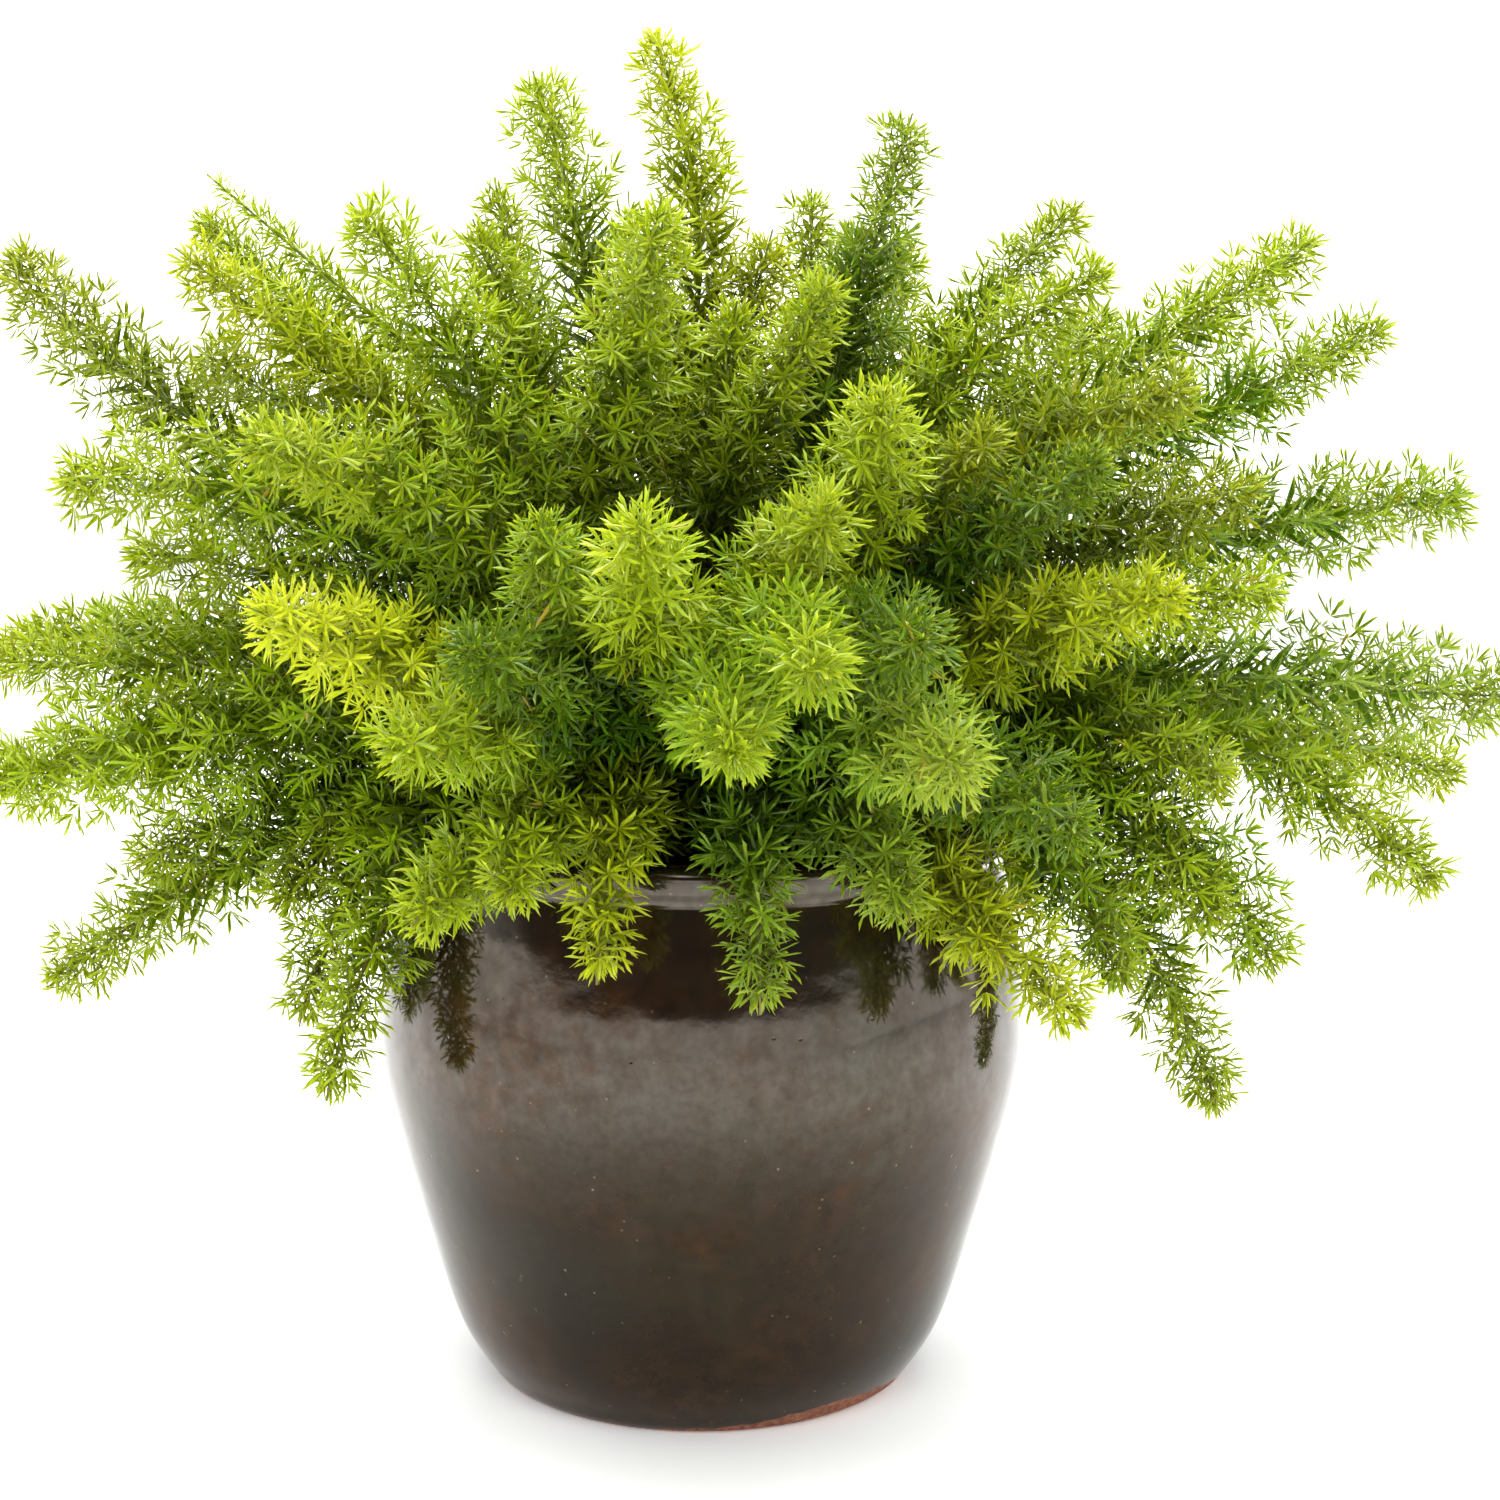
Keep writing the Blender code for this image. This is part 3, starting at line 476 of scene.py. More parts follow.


# Where each plume grows: its tip, its tip's pitch in degrees, its radius and its tone.
# A few have a root or a heading of their own, and some share another's root as a forked stem.
# The tones carry painted light and shade as well as the plumes' own colour: dark plumes hang in shade, the
# golden one catches the light.
Plume = namedtuple("Plume", "tip pitch radius tone root heading shares name", defaults=(None,) * 4)
plumeRows = {
    "top": [
        Plume((-87, 40, 655), 68, 30, "lime"),
        Plume((-29, 50, 678), 66, 25, "yellow", (45, 10), 170),
        Plume((104, 40, 636), 70, 26, "cool"),
        Plume((-20, -110, 583), 76, 29, "lime", (-55, -30), -50),
        Plume((-115, 150, 611), 76, 22, "fresh"),
        Plume((60, -110, 551), 56, 22, "lime", None, -35),
        Plume((75, -200, 498), 42, 30, "lime", (62, -55), -92),
        Plume((57, 130, 605), 82, 26, "fresh"),
        Plume((-115, 10, 580), 66, 25, "lime", shares="top_1"),
        Plume((34, 40, 578), 74, 26, "fresh", shares="top_2"),
        Plume((15, -60, 539), 60, 26, "mid", shares="top_6"),
        Plume((82, 70, 585), 76, 25, "mid", shares="top_3"),
    ],
    "left": [
        Plume((-343, 0, 564), 54, 30, "olive"),
        Plume((-268, 90, 588), 42, 22, "fresh"),
        Plume((-258, -10, 564), 38, 25, "yellow"),
        Plume((-166, -60, 583), 48, 30, "lime", (-60, -20), 190),
        Plume((-301, -90, 453), -6, 32, "fresh"),
        Plume((-198, -190, 474), 4, 28, "fresh"),
        Plume((-376, 90, 362), -8, 22, "fresh"),
        Plume((-359, -10, 362), 4, 28, "lime"),
        Plume((-352, -80, 310), -8, 30, "lime"),
        Plume((-330, -20, 197), -38, 27, "fresh"),
        Plume((-175, -120, 168), -76, 23, "lime"),
        Plume((-264, 60, 518), 32, 28, "mid", shares="left_2"),
        Plume((-282, -40, 418), 4, 33, "fresh", shares="left_8"),
        Plume((-345, -40, 303), -22, 30, "lime", shares="left_9"),
        Plume((-280, -40, 262), -32, 32, "mid", shares="left_10"),
        Plume((-198, -50, 186), -76, 25, "fresh", shares="left_11"),
        Plume((-210, -60, 245), -44, 31, "mid", shares="left_5"),
        Plume((-251, 40, 603), 40, 10, "lime", name="young_shoot"),       # thin, and not yet full
    ],
    "right": [
        Plume((199, 90, 597), 44, 20, "fresh"),
        Plume((195, -40, 559), 32, 24, "lime"),
        Plume((319, 60, 579), 35, 27, "lime"),
        Plume((345, 20, 533), 27, 26, "mid"),
        Plume((229, -90, 502), 18, 25, "olive"),
        Plume((391, 20, 448), 10, 31, "mid"),
        Plume((427, 30, 343), 0, 35, "cool"),
        Plume((415, 90, 291), -16, 24, "fresh"),
        Plume((370, -30, 252), -45, 28, "fresh"),
        Plume((277, -80, 220), -58, 34, "mid"),
        Plume((260, -40, 138), -72, 25, "fresh"),
        Plume((208, -190, 413), 10, 25, "yellow"),
        Plume((274, -90, 405), 5, 25, "lime"),
        Plume((174, -180, 472), 30, 26, "dark"),
        Plume((130, -150, 485), 42, 26, "olive"),
        Plume((222, 110, 540), 38, 27, "fresh", shares="right_1"),
        Plume((268, -60, 452), 12, 29, "mid", shares="right_5"),
        Plume((249, -100, 311), -36, 28, "olive", shares="right_9"),
        Plume((198, -125, 222), -60, 29, "mid", shares="right_10"),
        Plume((133, -190, 250), -36, 25, "mid", shares="front_9"),
        Plume((250, -90, 245), -56, 30, "olive", shares="right_11"),
    ],
    "front": [
        Plume((-25, -290, 450), 38, 27, "lime"),
        Plume((-67, -230, 449), 52, 26, "mid"),
        Plume((44, -330, 391), -14, 26, "mid"),
        Plume((12, -320, 356), -22, 26, "mid"),
        Plume((54, -260, 452), 28, 26, "fresh", (25, -75), -62),
        Plume((104, -300, 349), -12, 30, "cool"),
        Plume((25, -215, 233), -80, 22, "cool"),
        Plume((-45, -215, 246), -80, 22, "yellow"),
        Plume((168, -190, 222), -34, 28, "yellow"),
        Plume((-123, -220, 272), -26, 27, "lime"),
        Plume((-189, -220, 407), 20, 27, "golden"),
        Plume((-97, -270, 396), 18, 27, "dark"),
        Plume((-128, -270, 354), -4, 26, "fresh"),
        Plume((87, -300, 402), 6, 27, "dark"),
        Plume((160, -240, 313), -24, 27, "dark"),
        Plume((88, -225, 276), -44, 26, "cool", shares="front_6"),
        Plume((-84, -225, 282), -40, 26, "fresh", shares="front_10"),
    ],
    "back": [       # the photograph doesn't show these
        Plume((-10, 330, 515), 34, 28, "fresh"),
        Plume((-150, 300, 480), 28, 28, "mid"),
        Plume((145, 290, 490), 26, 28, "olive"),
        Plume((-70, 355, 340), -8, 28, "lime"),
        Plume((70, 350, 345), -12, 28, "mid"),
        Plume((-275, 235, 310), -22, 28, "mid"),
        Plume((270, 235, 320), -18, 28, "fresh"),
        Plume((0, 245, 215), -66, 25, "cool"),
        Plume((-45, 235, 600), 52, 26, "fresh", shares="back_1"),
        Plume((-255, 205, 475), 26, 28, "mid", shares="back_2"),
        Plume((245, 200, 485), 24, 28, "olive", shares="back_3"),
        Plume((-175, 315, 325), -16, 28, "lime", shares="back_4"),
        Plume((170, 315, 325), -16, 28, "mid", shares="back_5"),
        Plume((-185, 190, 200), -66, 25, "mid", shares="back_6"),
        Plume((190, 195, 195), -66, 25, "fresh", shares="back_7"),
        Plume((115, 195, 585), 60, 26, "fresh", shares="top_8"),
    ],
}
plumes = []
for side, rows in plumeRows.items():
    for number, row in enumerate(rows, 1):
        shares = row.shares and "plume_" + row.shares
        plumes.append(row._replace(name=row.name or f"plume_{side}_{number}", shares=shares))


# The stems' routes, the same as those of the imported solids
stemLook = {
    "soilTop": 262,
    "rootSpread": 104,
    "rootPower": 0.8,
    "goldenAngle": math.radians(137.508),
    "points": 28,
    "samples": 200,
    "rootPull": 0.38,
    "tipPull": 0.42,
    "droopPull": 0.5,
    "droopFrom": 30,
    "rootRoom": 4,
    "plumeRoom": 13,
    "openShare": 0.4,
    "rimMiddle": 147.5,
    "rimTop": 285,
    "rimRoom": 15,
    "rimBody": 8,
    "bendRounds": 90,
    "bendStep": 0.5,
    "smoothRounds": 3,
    "footDepth": 13,
    "footRadius": 2.1,
    "tipRadius": 0.5,
    "bare": "#7d8a34",
    "streak": "#6b8030",
    "bareBase": "#8a7a48",
}


def unit(vector):
    return vector / np.linalg.norm(vector)


def unitRows(vectors):
    return vectors / np.linalg.norm(vectors, axis=1)[:, None]


def wishedRoot(plume):
    # Upright plumes root near the middle, and drooping ones near the rim
    if plume.root:
        return np.array(plume.root, float)
    x, y, z = plume.tip
    outward = math.hypot(x, y)
    climb = math.degrees(math.atan2(z - stemLook["soilTop"], outward))
    share = 1 - max(0.0, min(climb, 90.0)) / 90
    return np.array([x, y]) / outward * stemLook["rootSpread"] * share ** stemLook["rootPower"]


def shareOutRoots():
    # Each stem takes the free place nearest to its wish, those with the lowest tips first
    rooted = [plume for plume in plumes if not plume.shares]
    free = []
    for number in range(len(rooted)):
        radius = stemLook["rootSpread"] * math.sqrt((number + 0.5) / len(rooted))
        angle = number * stemLook["goldenAngle"]
        free.append(np.array([radius * math.cos(angle), radius * math.sin(angle)]))
    roots = {}

    def climb(plume):
        return (plume.tip[2] - stemLook["soilTop"]) / math.hypot(plume.tip[0], plume.tip[1])

    for plume in sorted(rooted, key=climb):
        wish = wishedRoot(plume)
        nearest = min(range(len(free)), key=lambda i: np.linalg.norm(free[i] - wish))
        roots[plume.name] = free.pop(nearest)
    for plume in plumes:
        if plume.shares:
            roots[plume.name] = roots[plume.shares]
    return roots


def lengthsAlong(route):
    steps = np.linalg.norm(np.diff(route, axis=0), axis=1)
    return np.concatenate([[0.0], np.cumsum(steps)])


def evenSteps(route, count):
    along = lengthsAlong(route)
    wanted = np.linspace(0, along[-1], count)
    return np.stack([np.interp(wanted, along, route[:, axis]) for axis in range(3)], axis=1)


def archedRoute(plume, root):
    # A stem rises straight from the soil and arches over to its tip
    start = np.array([root[0], root[1], stemLook["soilTop"]], float)
    end = np.array(plume.tip, float)
    if plume.heading is None:
        forward = unit(np.array([end[0] - start[0], end[1] - start[1], 0.0]))
    else:
        angle = math.radians(plume.heading)
        forward = np.array([math.cos(angle), math.sin(angle), 0.0])
    pitch = math.radians(plume.pitch)
    aim = forward * math.cos(pitch) + np.array([0, 0, math.sin(pitch)])
    span = np.linalg.norm(end - start)
    rise = start + np.array([0, 0, stemLook["rootPull"] * span])
    least = math.sin(math.radians(stemLook["droopFrom"]))
    droop = np.clip((-math.sin(pitch) - least) / (1 - least), 0, 1)
    before = end - aim * (stemLook["tipPull"] + stemLook["droopPull"] * droop) * span
    t = np.linspace(0, 1, stemLook["samples"])[:, None]
    fine = (1 - t) ** 3 * start + 3 * (1 - t) ** 2 * t * rise + 3 * (1 - t) * t ** 2 * before + t ** 3 * end
    return evenSteps(fine, stemLook["points"])


def neighbourPush(number, points, room):
    # Which way, and how far, the other stems push the points of one stem
    mine = points[number]
    others = np.delete(points, number, axis=0).reshape(-1, 3)
    limit = room[:, None] + np.tile(room, len(points) - 1)[None, :]
    squared = sum((mine[:, None, axis] - others[None, :, axis]) ** 2 for axis in range(3))
    near, far = np.nonzero(squared < limit ** 2)
    distance = np.sqrt(squared[near, far]) + 1e-6
    lack = limit[near, far] - distance
    push = np.zeros_like(mine)
    np.add.at(push, near, (mine[near] - others[far]) / distance[:, None] * lack[:, None])
    return push / np.maximum(np.bincount(near, minlength=len(mine)), 1)[:, None]


def rimPush(points):
    outward = np.sqrt(points[..., 0] ** 2 + points[..., 1] ** 2) + 1e-6
    across = outward - stemLook["rimMiddle"]
    above = points[..., 2] - (stemLook["rimTop"] - stemLook["rimBody"])
    distance = np.sqrt(across ** 2 + above ** 2) + 1e-6
    lack = np.maximum(stemLook["rimRoom"] + stemLook["rimBody"] - distance, 0)
    push = np.zeros_like(points)
    push[..., 0] = points[..., 0] / outward * across / distance * lack
    push[..., 1] = points[..., 1] / outward * across / distance * lack
    push[..., 2] = above / distance * lack
    return push


def bendClear(routes):
    # Bends stems apart where they come too near each other or the pot's rim
    points = np.stack(list(routes.values()))
    share = np.linspace(0, 1, stemLook["points"])
    widening = np.clip(share / stemLook["openShare"], 0, 1)
    room = stemLook["rootRoom"] + (stemLook["plumeRoom"] - stemLook["rootRoom"]) * widening
    for _ in range(stemLook["bendRounds"]):
        push = np.stack([neighbourPush(number, points, room) for number in range(len(points))])
        push += rimPush(points)
        push[:, 0] = 0
        push[:, -1] = 0
        for _ in range(stemLook["smoothRounds"]):
            push[:, 1:-1] = (push[:, :-2] + 2 * push[:, 1:-1] + push[:, 2:]) / 4
        points = points + stemLook["bendStep"] * push
    return {name: evenSteps(points[i], stemLook["points"]) for i, name in enumerate(routes)}


roots = shareOutRoots()
routes = bendClear({plume.name: archedRoute(plume, roots[plume.name]) for plume in plumes})
print("stems:", len(routes), "routes")


# One needle leaf, and the side sprigs that carry them

needleLook = {
    "length": 11.5,
    "width": 1.95,
    "widest": 0.5,          # share of the length where it is widest
    "stagger": 0.26,        # how much nearer the tip one side's corner is, and nearer the root the other's
    "bend": 0.75,           # how far its sides bow out from its keel
}
sprigLook = {
    "stalks": (3, 8, 13, 18, 24, 30, 36),   # each length of stalk is modelled in a few kinds
    "kinds": 4,
    "stalkRadius": 0.5,
    "jointStep": 5.6,
    "needles": (8, 6, 4, 3, 2, 2),          # at the stalk's end, and at each joint back from it
    "spread": (52, 68, 74, 78, 80, 80),     # degrees off the stalk
    "spreadTip": 20,
    "sway": 0.9,
    "uneven": 0.2,
    "reachShare": 0.8,      # share of an end needle's length that adds to the sprig's reach
    "seed": 5,
}

innerLook = {
    # Broad leaves close to the stem, kept dark with painted shade, which close a plume up behind its finer
    # ones
    "length": 24,
    "width": 3.4,
    "widest": 0.5,
    "stagger": 0.15,
    "bend": 1.4,
    "step": 1.5,
    "bareTip": 75,          # there are none this near to the tip
    "lean": 38,
    "reachShare": 0.72,
    "sizes": (0.4, 1.15),
    # deepest: how far out of the plume the blades count at most, which keeps them in painted shade
    "deepest": 0.5,
}


def modelNeedle(look):
    # A keeled blade of four faces: a three-sided point, one corner of its base drawn back to the root, and
    # the other two set apart along it, so that it keeps its width from near the root to near the tip
    deselectAll()
    outer = (1 - look["widest"]) * look["length"]
    radius = look["width"] / math.sqrt(3)
    bpy.ops.mesh.primitive_cone_add(
        vertices=3, radius1=radius * mm, radius2=0, depth=outer * mm, end_fill_type="NGON",
        location=(0, 0, 0))
    needle = newest("needle")
    bpy.ops.object.mode_set(mode="EDIT")
    bpy.ops.mesh.select_all(action="SELECT")
    bpy.ops.transform.translate(value=(0, 0, (look["length"] - outer / 2) * mm))
    selectWhere(needle, "verts", lambda vert: vert.co.y > 0.5 * radius * mm)
    bpy.ops.transform.translate(value=(0, -radius * mm, -look["widest"] * look["length"] * mm))
    selectWhere(needle, "verts", lambda vert: abs(vert.co.x) > 0.1 * mm)
    bpy.ops.transform.translate(value=(0, (look["bend"] + radius / 2) * mm, 0))
    for side in (-1, 1):
        selectWhere(needle, "verts", lambda vert: side * vert.co.x > 0.1 * mm)
        bpy.ops.transform.translate(value=(0, 0, side * look["stagger"] * look["length"] * mm))
    bpy.ops.mesh.select_all(action="SELECT")
    bpy.ops.mesh.quads_convert_to_tris()
    bpy.ops.mesh.normals_make_consistent(inside=False)
    bpy.ops.object.mode_set(mode="OBJECT")
    return needle


def setGrowth(thing, chance, along):
    # Each corner's lot for colour, and its place along its needle
    values = np.zeros((len(thing.data.vertices), 3), np.float32)
    values[:, 0] = chance
    values[:, 1] = along
    addAttribute(thing, "growth", "FLOAT_VECTOR", values)


def modelStalk(stalkLength, look, draw):
    # A thin stalk, extruded joint by joint with a slight sway, and drawn to a point
    deselectAll()
    bpy.ops.mesh.primitive_circle_add(
        vertices=3, radius=look["stalkRadius"] * mm, fill_type="NGON", location=(0, 0, 0))
    stalk = newest("stalk")
    joints = [Vector((0, 0, 0))]
    bpy.ops.object.mode_set(mode="EDIT")
    bpy.ops.mesh.select_all(action="SELECT")
    for share in (0.5, 1.0):
        sway = look["sway"] * share
        place = Vector((draw.uniform(-sway, sway), draw.uniform(-sway, sway), stalkLength * share)) * mm
        bpy.ops.mesh.extrude_region_move(TRANSFORM_OT_translate={"value": place - joints[-1]})
        bpy.ops.transform.resize(value=(0.8, 0.8, 0.8))
        joints.append(place)
    bpy.ops.mesh.merge(type="CENTER")
    bpy.ops.mesh.select_all(action="SELECT")
    bpy.ops.mesh.normals_make_consistent(inside=False)
    bpy.ops.object.mode_set(mode="OBJECT")
    setGrowth(stalk, 0.5, 0)
    heights = [joint.z for joint in joints]
    return stalk, lambda height: Vector([
        np.interp(height * mm, heights, [joint[axis] for joint in joints]) for axis in range(3)])


def modelSprig(stalkLength, kind, look, needle):
    # Needles stand in rosettes along the stalk, wide at its side and closing up at its end
    draw = np.random.default_rng(look["seed"] + kind * 100 + stalkLength)
    stalk, placeOn = modelStalk(stalkLength, look, draw)
    parts = [stalk]
    for back, (count, spread) in enumerate(zip(look["needles"], look["spread"])):
        height = stalkLength - back * look["jointStep"]
        if height < 0.5:
            break
        first = draw.random() * 2 * math.pi
        for i in range(count):
            angle = first + 2 * math.pi * (i + draw.uniform(-0.22, 0.22)) / count
            tilt = math.radians(spread + draw.uniform(-12, 12))
            if back == 0 and i == 0:
                tilt = math.radians(draw.uniform(0, look["spreadTip"]))
            copy = newObject("needle", needle.data.copy())
            size = 1 + draw.uniform(-look["uneven"], look["uneven"])
            turn = Matrix.Rotation(angle, 4, "Z") @ Matrix.Rotation(-tilt, 4, "X")
            copy.data.transform(Matrix.Translation(placeOn(height)) @ turn @ Matrix.Scale(size, 4))
            heights = np.array([vert.co.z for vert in needle.data.vertices])
            setGrowth(copy, draw.random(), heights / (needleLook["length"] * mm))
            parts.append(copy)
    sprig = joinAll(parts, f"sprig_{stalkLength}_{kind}")
    corners, faces = meshArrays(sprig)
    growth = np.zeros(len(corners) * 3, np.float32)
    sprig.data.attributes["growth"].data.foreach_get("vector", growth)
    bpy.data.objects.remove(sprig)
    return corners, faces, growth.reshape(-1, 3)


def modelInnerBlade(look):
    blade = modelNeedle(look)
    corners, faces = meshArrays(blade)
    growth = np.zeros((len(corners), 3), np.float32)
    growth[:, 1] = corners[:, 2] / (look["length"] * mm)
    bpy.data.objects.remove(blade)
    return corners, faces, growth


needle = modelNeedle(needleLook)
sprigs = [[modelSprig(stalkLength, kind, sprigLook, needle) for kind in range(sprigLook["kinds"])]
          for stalkLength in sprigLook["stalks"]]
bpy.data.objects.remove(needle)
innerBlade = modelInnerBlade(innerLook)
print("sprigs:", len(sprigs) * len(sprigs[0]), "shapes of up to", len(sprigs[-1][0][1]), "faces")


# The plumes

plumeLook = {
    "leafyFrom": 0.05,      # share of the stem that is bare
    "widening": 30,
    "spacing": 3.4,         # between sprigs, far from the tip and near it
    "tipSpacing": 2.5,
    "closeFrom": 210,       # how far from the tip they begin to stand closer
    "tipLength": 9,
    "reachAt": (0, 75, 160),                # distance from the tip
    "reachShare": (0.42, 1.15, 1.45),        # and what share of the plume's radius the sprigs reach there
    "mostReach": 48,
    "lean": 35,
    "tipLean": 56,
    "leanFrom": 75,
    "unevenReach": 0.3,
    "unevenLean": 9,
    "overTip": -3,          # how far the foremost sprigs reach past the stem's end
    "sizes": (0.66, 1.15),
    "seed": 21,
}
leafTones = {
    # shade colour (painted shade), usual and young needles of each tone
    # golden is a brighter copy of yellow, painted light for the plume that catches the most light
    "golden": ("#425208", "#b2c010", "#c6cc36"),
    "yellow": ("#283806", "#8ea008", "#b0b824"),
    "lime": ("#243806", "#809c0a", "#a2b022"),
    "fresh": ("#203508", "#74940a", "#9aa622"),
    "olive": ("#223006", "#6a800c", "#8c961e"),
    "mid": ("#1d3206", "#668c0a", "#8e9e1e"),
    "cool": ("#1c3208", "#6c901a", "#8e9c2e"),
    # dark is a shaded copy, painted shade for the plumes that hang in shade in front
    "dark": ("#172a06", "#3e640a", "#5e7614"),
}
strawLook = {"colour": "#a8923a", "share": 0.003}
leafLook = {
    "through": 0.45,        # how much of the light goes through a needle, and how deep it spreads
    "depth": 1.5,
    "middle": 330,          # height of the plant's middle, which is in shade
    "shadeAt": (90, 215),   # from full shade to none, in millimetres from there
    "shade": 0.9,
    "deepFrom": 0.2,        # and how much painted shade darkens the inside of each plume, near the plant's middle and far out
    "deepTo": 0.8,
    "deepNear": 0.75,
    "deepFar": 0.22,
    "deepAt": (150, 280),
}


def framesAlong(route, stations):
    # Places, directions and two directions across, at stations along a stem
    along = lengthsAlong(route)

    def at(wanted):
        return np.stack([np.interp(wanted, along, route[:, axis]) for axis in range(3)], axis=1)

    directions = unitRows(at(stations + 2) - at(np.maximum(stations - 2, 0)))
    sides = np.zeros_like(directions)
    side = np.array([1.0, 0.0, 0.0])
    for i, direction in enumerate(directions):
        side = unit(side - direction * side.dot(direction))
        sides[i] = side
    return at(stations), directions, sides, np.cross(directions, sides)


def sprigStations(length, look):
    # Sprigs stand closer together towards the tip
    stations = []
    station = look["leafyFrom"] * length
    while station < length - look["tipLength"]:
        stations.append(station)
        nearTip = np.clip(1.4 * (1 - (length - station) / look["closeFrom"]), 0, 1)
        station += look["spacing"] + (look["tipSpacing"] - look["spacing"]) * nearTip
    return np.array(stations)


def turnsTowards(directions, rolls):
    # Rotations that point a sprig along each direction, rolled about it
    helper = np.where(np.abs(directions[:, 2:3]) < 0.9, [[0.0, 0.0, 1.0]], [[1.0, 0.0, 0.0]])
    first = unitRows(np.cross(helper, directions))
    second = np.cross(directions, first)
    across = first * np.cos(rolls)[:, None] + second * np.sin(rolls)[:, None]
    return np.stack([across, np.cross(directions, across), directions], axis=2)


def aimsOut(frames, angles, lean):
    # Directions out from a stem, leaning towards its tip
    _, directions, sides, acrosses = frames
    outwards = sides * np.cos(angles)[:, None] + acrosses * np.sin(angles)[:, None]
    return outwards * np.cos(lean)[:, None] + directions * np.sin(lean)[:, None]


def placeCopy(shape, turn, size, place, wanted, chance, grown):
    # Growth holds a corner's lot for colour, how far out of the plume it is (which sets its painted shade),
    # and its place along the plume
    corners, faces, growth = shape
    values = growth.copy()
    values[:, 0] = (values[:, 0] + chance) % 1
    values[:, 1] = np.clip(corners[:, 2] / mm * size / wanted, 0, 1) * (0.65 + 0.35 * values[:, 1])
    values[:, 2] = grown
    return corners / mm @ turn.T * size + place, faces, values


def joinArrays(pieces):
    starts = np.cumsum([0] + [len(corners) for corners, _, _ in pieces[:-1]])
    corners = np.concatenate([corners for corners, _, _ in pieces])
    faces = np.concatenate([faces + start for (_, faces, _), start in zip(pieces, starts)])
    return corners, faces, np.concatenate([values for _, _, values in pieces])


def reachAlong(plume, length, stations, look):
    # How far the leaves reach out from the stem at each station
    opening = np.clip((stations - look["leafyFrom"] * length) / look["widening"], 0, 1)
    reach = plume.radius * np.interp(length - stations, look["reachAt"], look["reachShare"])
    return np.minimum(reach, look["mostReach"]) * (0.45 + 0.55 * opening)


def sprigCopies(plume, route, draw, look):
    length = lengthsAlong(route)[-1]
    stations = sprigStations(length, look)
    count = len(stations)
    frames = framesAlong(route, stations)
    toTip = length - stations
    reach = reachAlong(plume, length, stations, look) * (1 - look["unevenReach"] * draw.random(count))
    nearTip = np.clip(1 - toTip / look["leanFrom"], 0, 1)
    lean = look["lean"] + (look["tipLean"] - look["lean"]) * nearTip
    lean = np.radians(lean + draw.uniform(-1, 1, count) * look["unevenLean"])
    angles = np.arange(count) * stemLook["goldenAngle"] + draw.uniform(-0.25, 0.25, count)
    turns = turnsTowards(aimsOut(frames, angles, lean), draw.random(count) * 2 * math.pi)
    wanted = np.minimum(reach / np.cos(lean), (toTip + look["overTip"]) / np.sin(lean))
    whole = np.array(sprigLook["stalks"]) + sprigLook["reachShare"] * needleLook["length"]
    lengths = np.argmin(np.abs(wanted[:, None] - whole[None, :]), axis=1)
    sizes = np.clip(wanted / whole[lengths], *look["sizes"])
    kinds = draw.integers(sprigLook["kinds"], size=count)
    copies = []
    for i in range(count):
        shape = sprigs[lengths[i]][kinds[i]]
        grown = stations[i] / length
        copies.append(placeCopy(shape, turns[i], sizes[i], frames[0][i], wanted[i], draw.random(), grown))
    return copies


def innerCopies(plume, route, draw, look):
    length = lengthsAlong(route)[-1]
    stations = np.arange(plumeLook["leafyFrom"] * length, length - look["bareTip"], look["step"])
    count = len(stations)
    frames = framesAlong(route, stations)
    angles = np.arange(count) * stemLook["goldenAngle"] + draw.uniform(-0.3, 0.3, count)
    lean = np.radians(look["lean"] + draw.uniform(-15, 15, count))
    turns = turnsTowards(aimsOut(frames, angles, lean), draw.random(count) * 2 * math.pi)
    wanted = reachAlong(plume, length, stations, plumeLook) * look["reachShare"] / np.cos(lean)
    sizes = np.clip(wanted / look["length"], *look["sizes"])
    return [placeCopy(innerBlade, turns[i], sizes[i], frames[0][i], wanted[i] / look["deepest"], 0.5, 0.3)
            for i in range(count)]


def modelStem(name, route):
    # A round stem along its route, from its foot in the soil, thinning to its tip
    foot = route[0] - np.array([0, 0, stemLook["footDepth"]])
    points = np.concatenate([[foot], route])
    line = bpy.data.curves.new(name, "CURVE")
    line.dimensions = "3D"
    line.bevel_depth = 1 * mm
    line.bevel_resolution = 1
    line.use_fill_caps = True
    strand = line.splines.new("POLY")
    strand.points.add(len(points) - 1)
    radii = np.linspace(stemLook["footRadius"], stemLook["tipRadius"], len(points))
    for point, place, radius in zip(strand.points, points, radii):
        point.co = (*(place * mm), 1)
        point.radius = radius
    pickOnly([newObject(name, line)])
    bpy.ops.object.convert(target="MESH")
    return newest(name)


def modelPlume(plume, number, materials):
    parts = []
    for grown in [plume] + [other for other in plumes if other.shares == plume.name]:
        draw = np.random.default_rng(plumeLook["seed"] + number * 7 + len(parts))
        copies = sprigCopies(grown, routes[grown.name], draw, plumeLook)
        corners, faces, growth = joinArrays(copies + innerCopies(grown, routes[grown.name], draw, innerLook))
        leaves = meshFrom("leaves", corners * mm, faces)
        addAttribute(leaves, "growth", "FLOAT_VECTOR", growth)
        leaves.data.materials.append(materials[plume.tone])
        stem = modelStem("stem", routes[grown.name])
        stem.data.materials.append(materials["stem"])
        parts += [leaves, stem]
    piece = joinAll(parts, "leafy_" + plume.name)
    keepInBox(piece)
    return piece


def keepInBox(piece):
    # No needle reaches past the solids' box
    corners = np.zeros(len(piece.data.vertices) * 3, np.float32)
    piece.data.vertices.foreach_get("co", corners)
    corners = corners.reshape(-1, 3)
    low, high = np.array(cadBox[0]) + 0.2 * mm, np.array(cadBox[1]) - 0.2 * mm
    piece.data.vertices.foreach_set("co", np.clip(corners, low, high).astype(np.float32).ravel())
    piece.data.update()


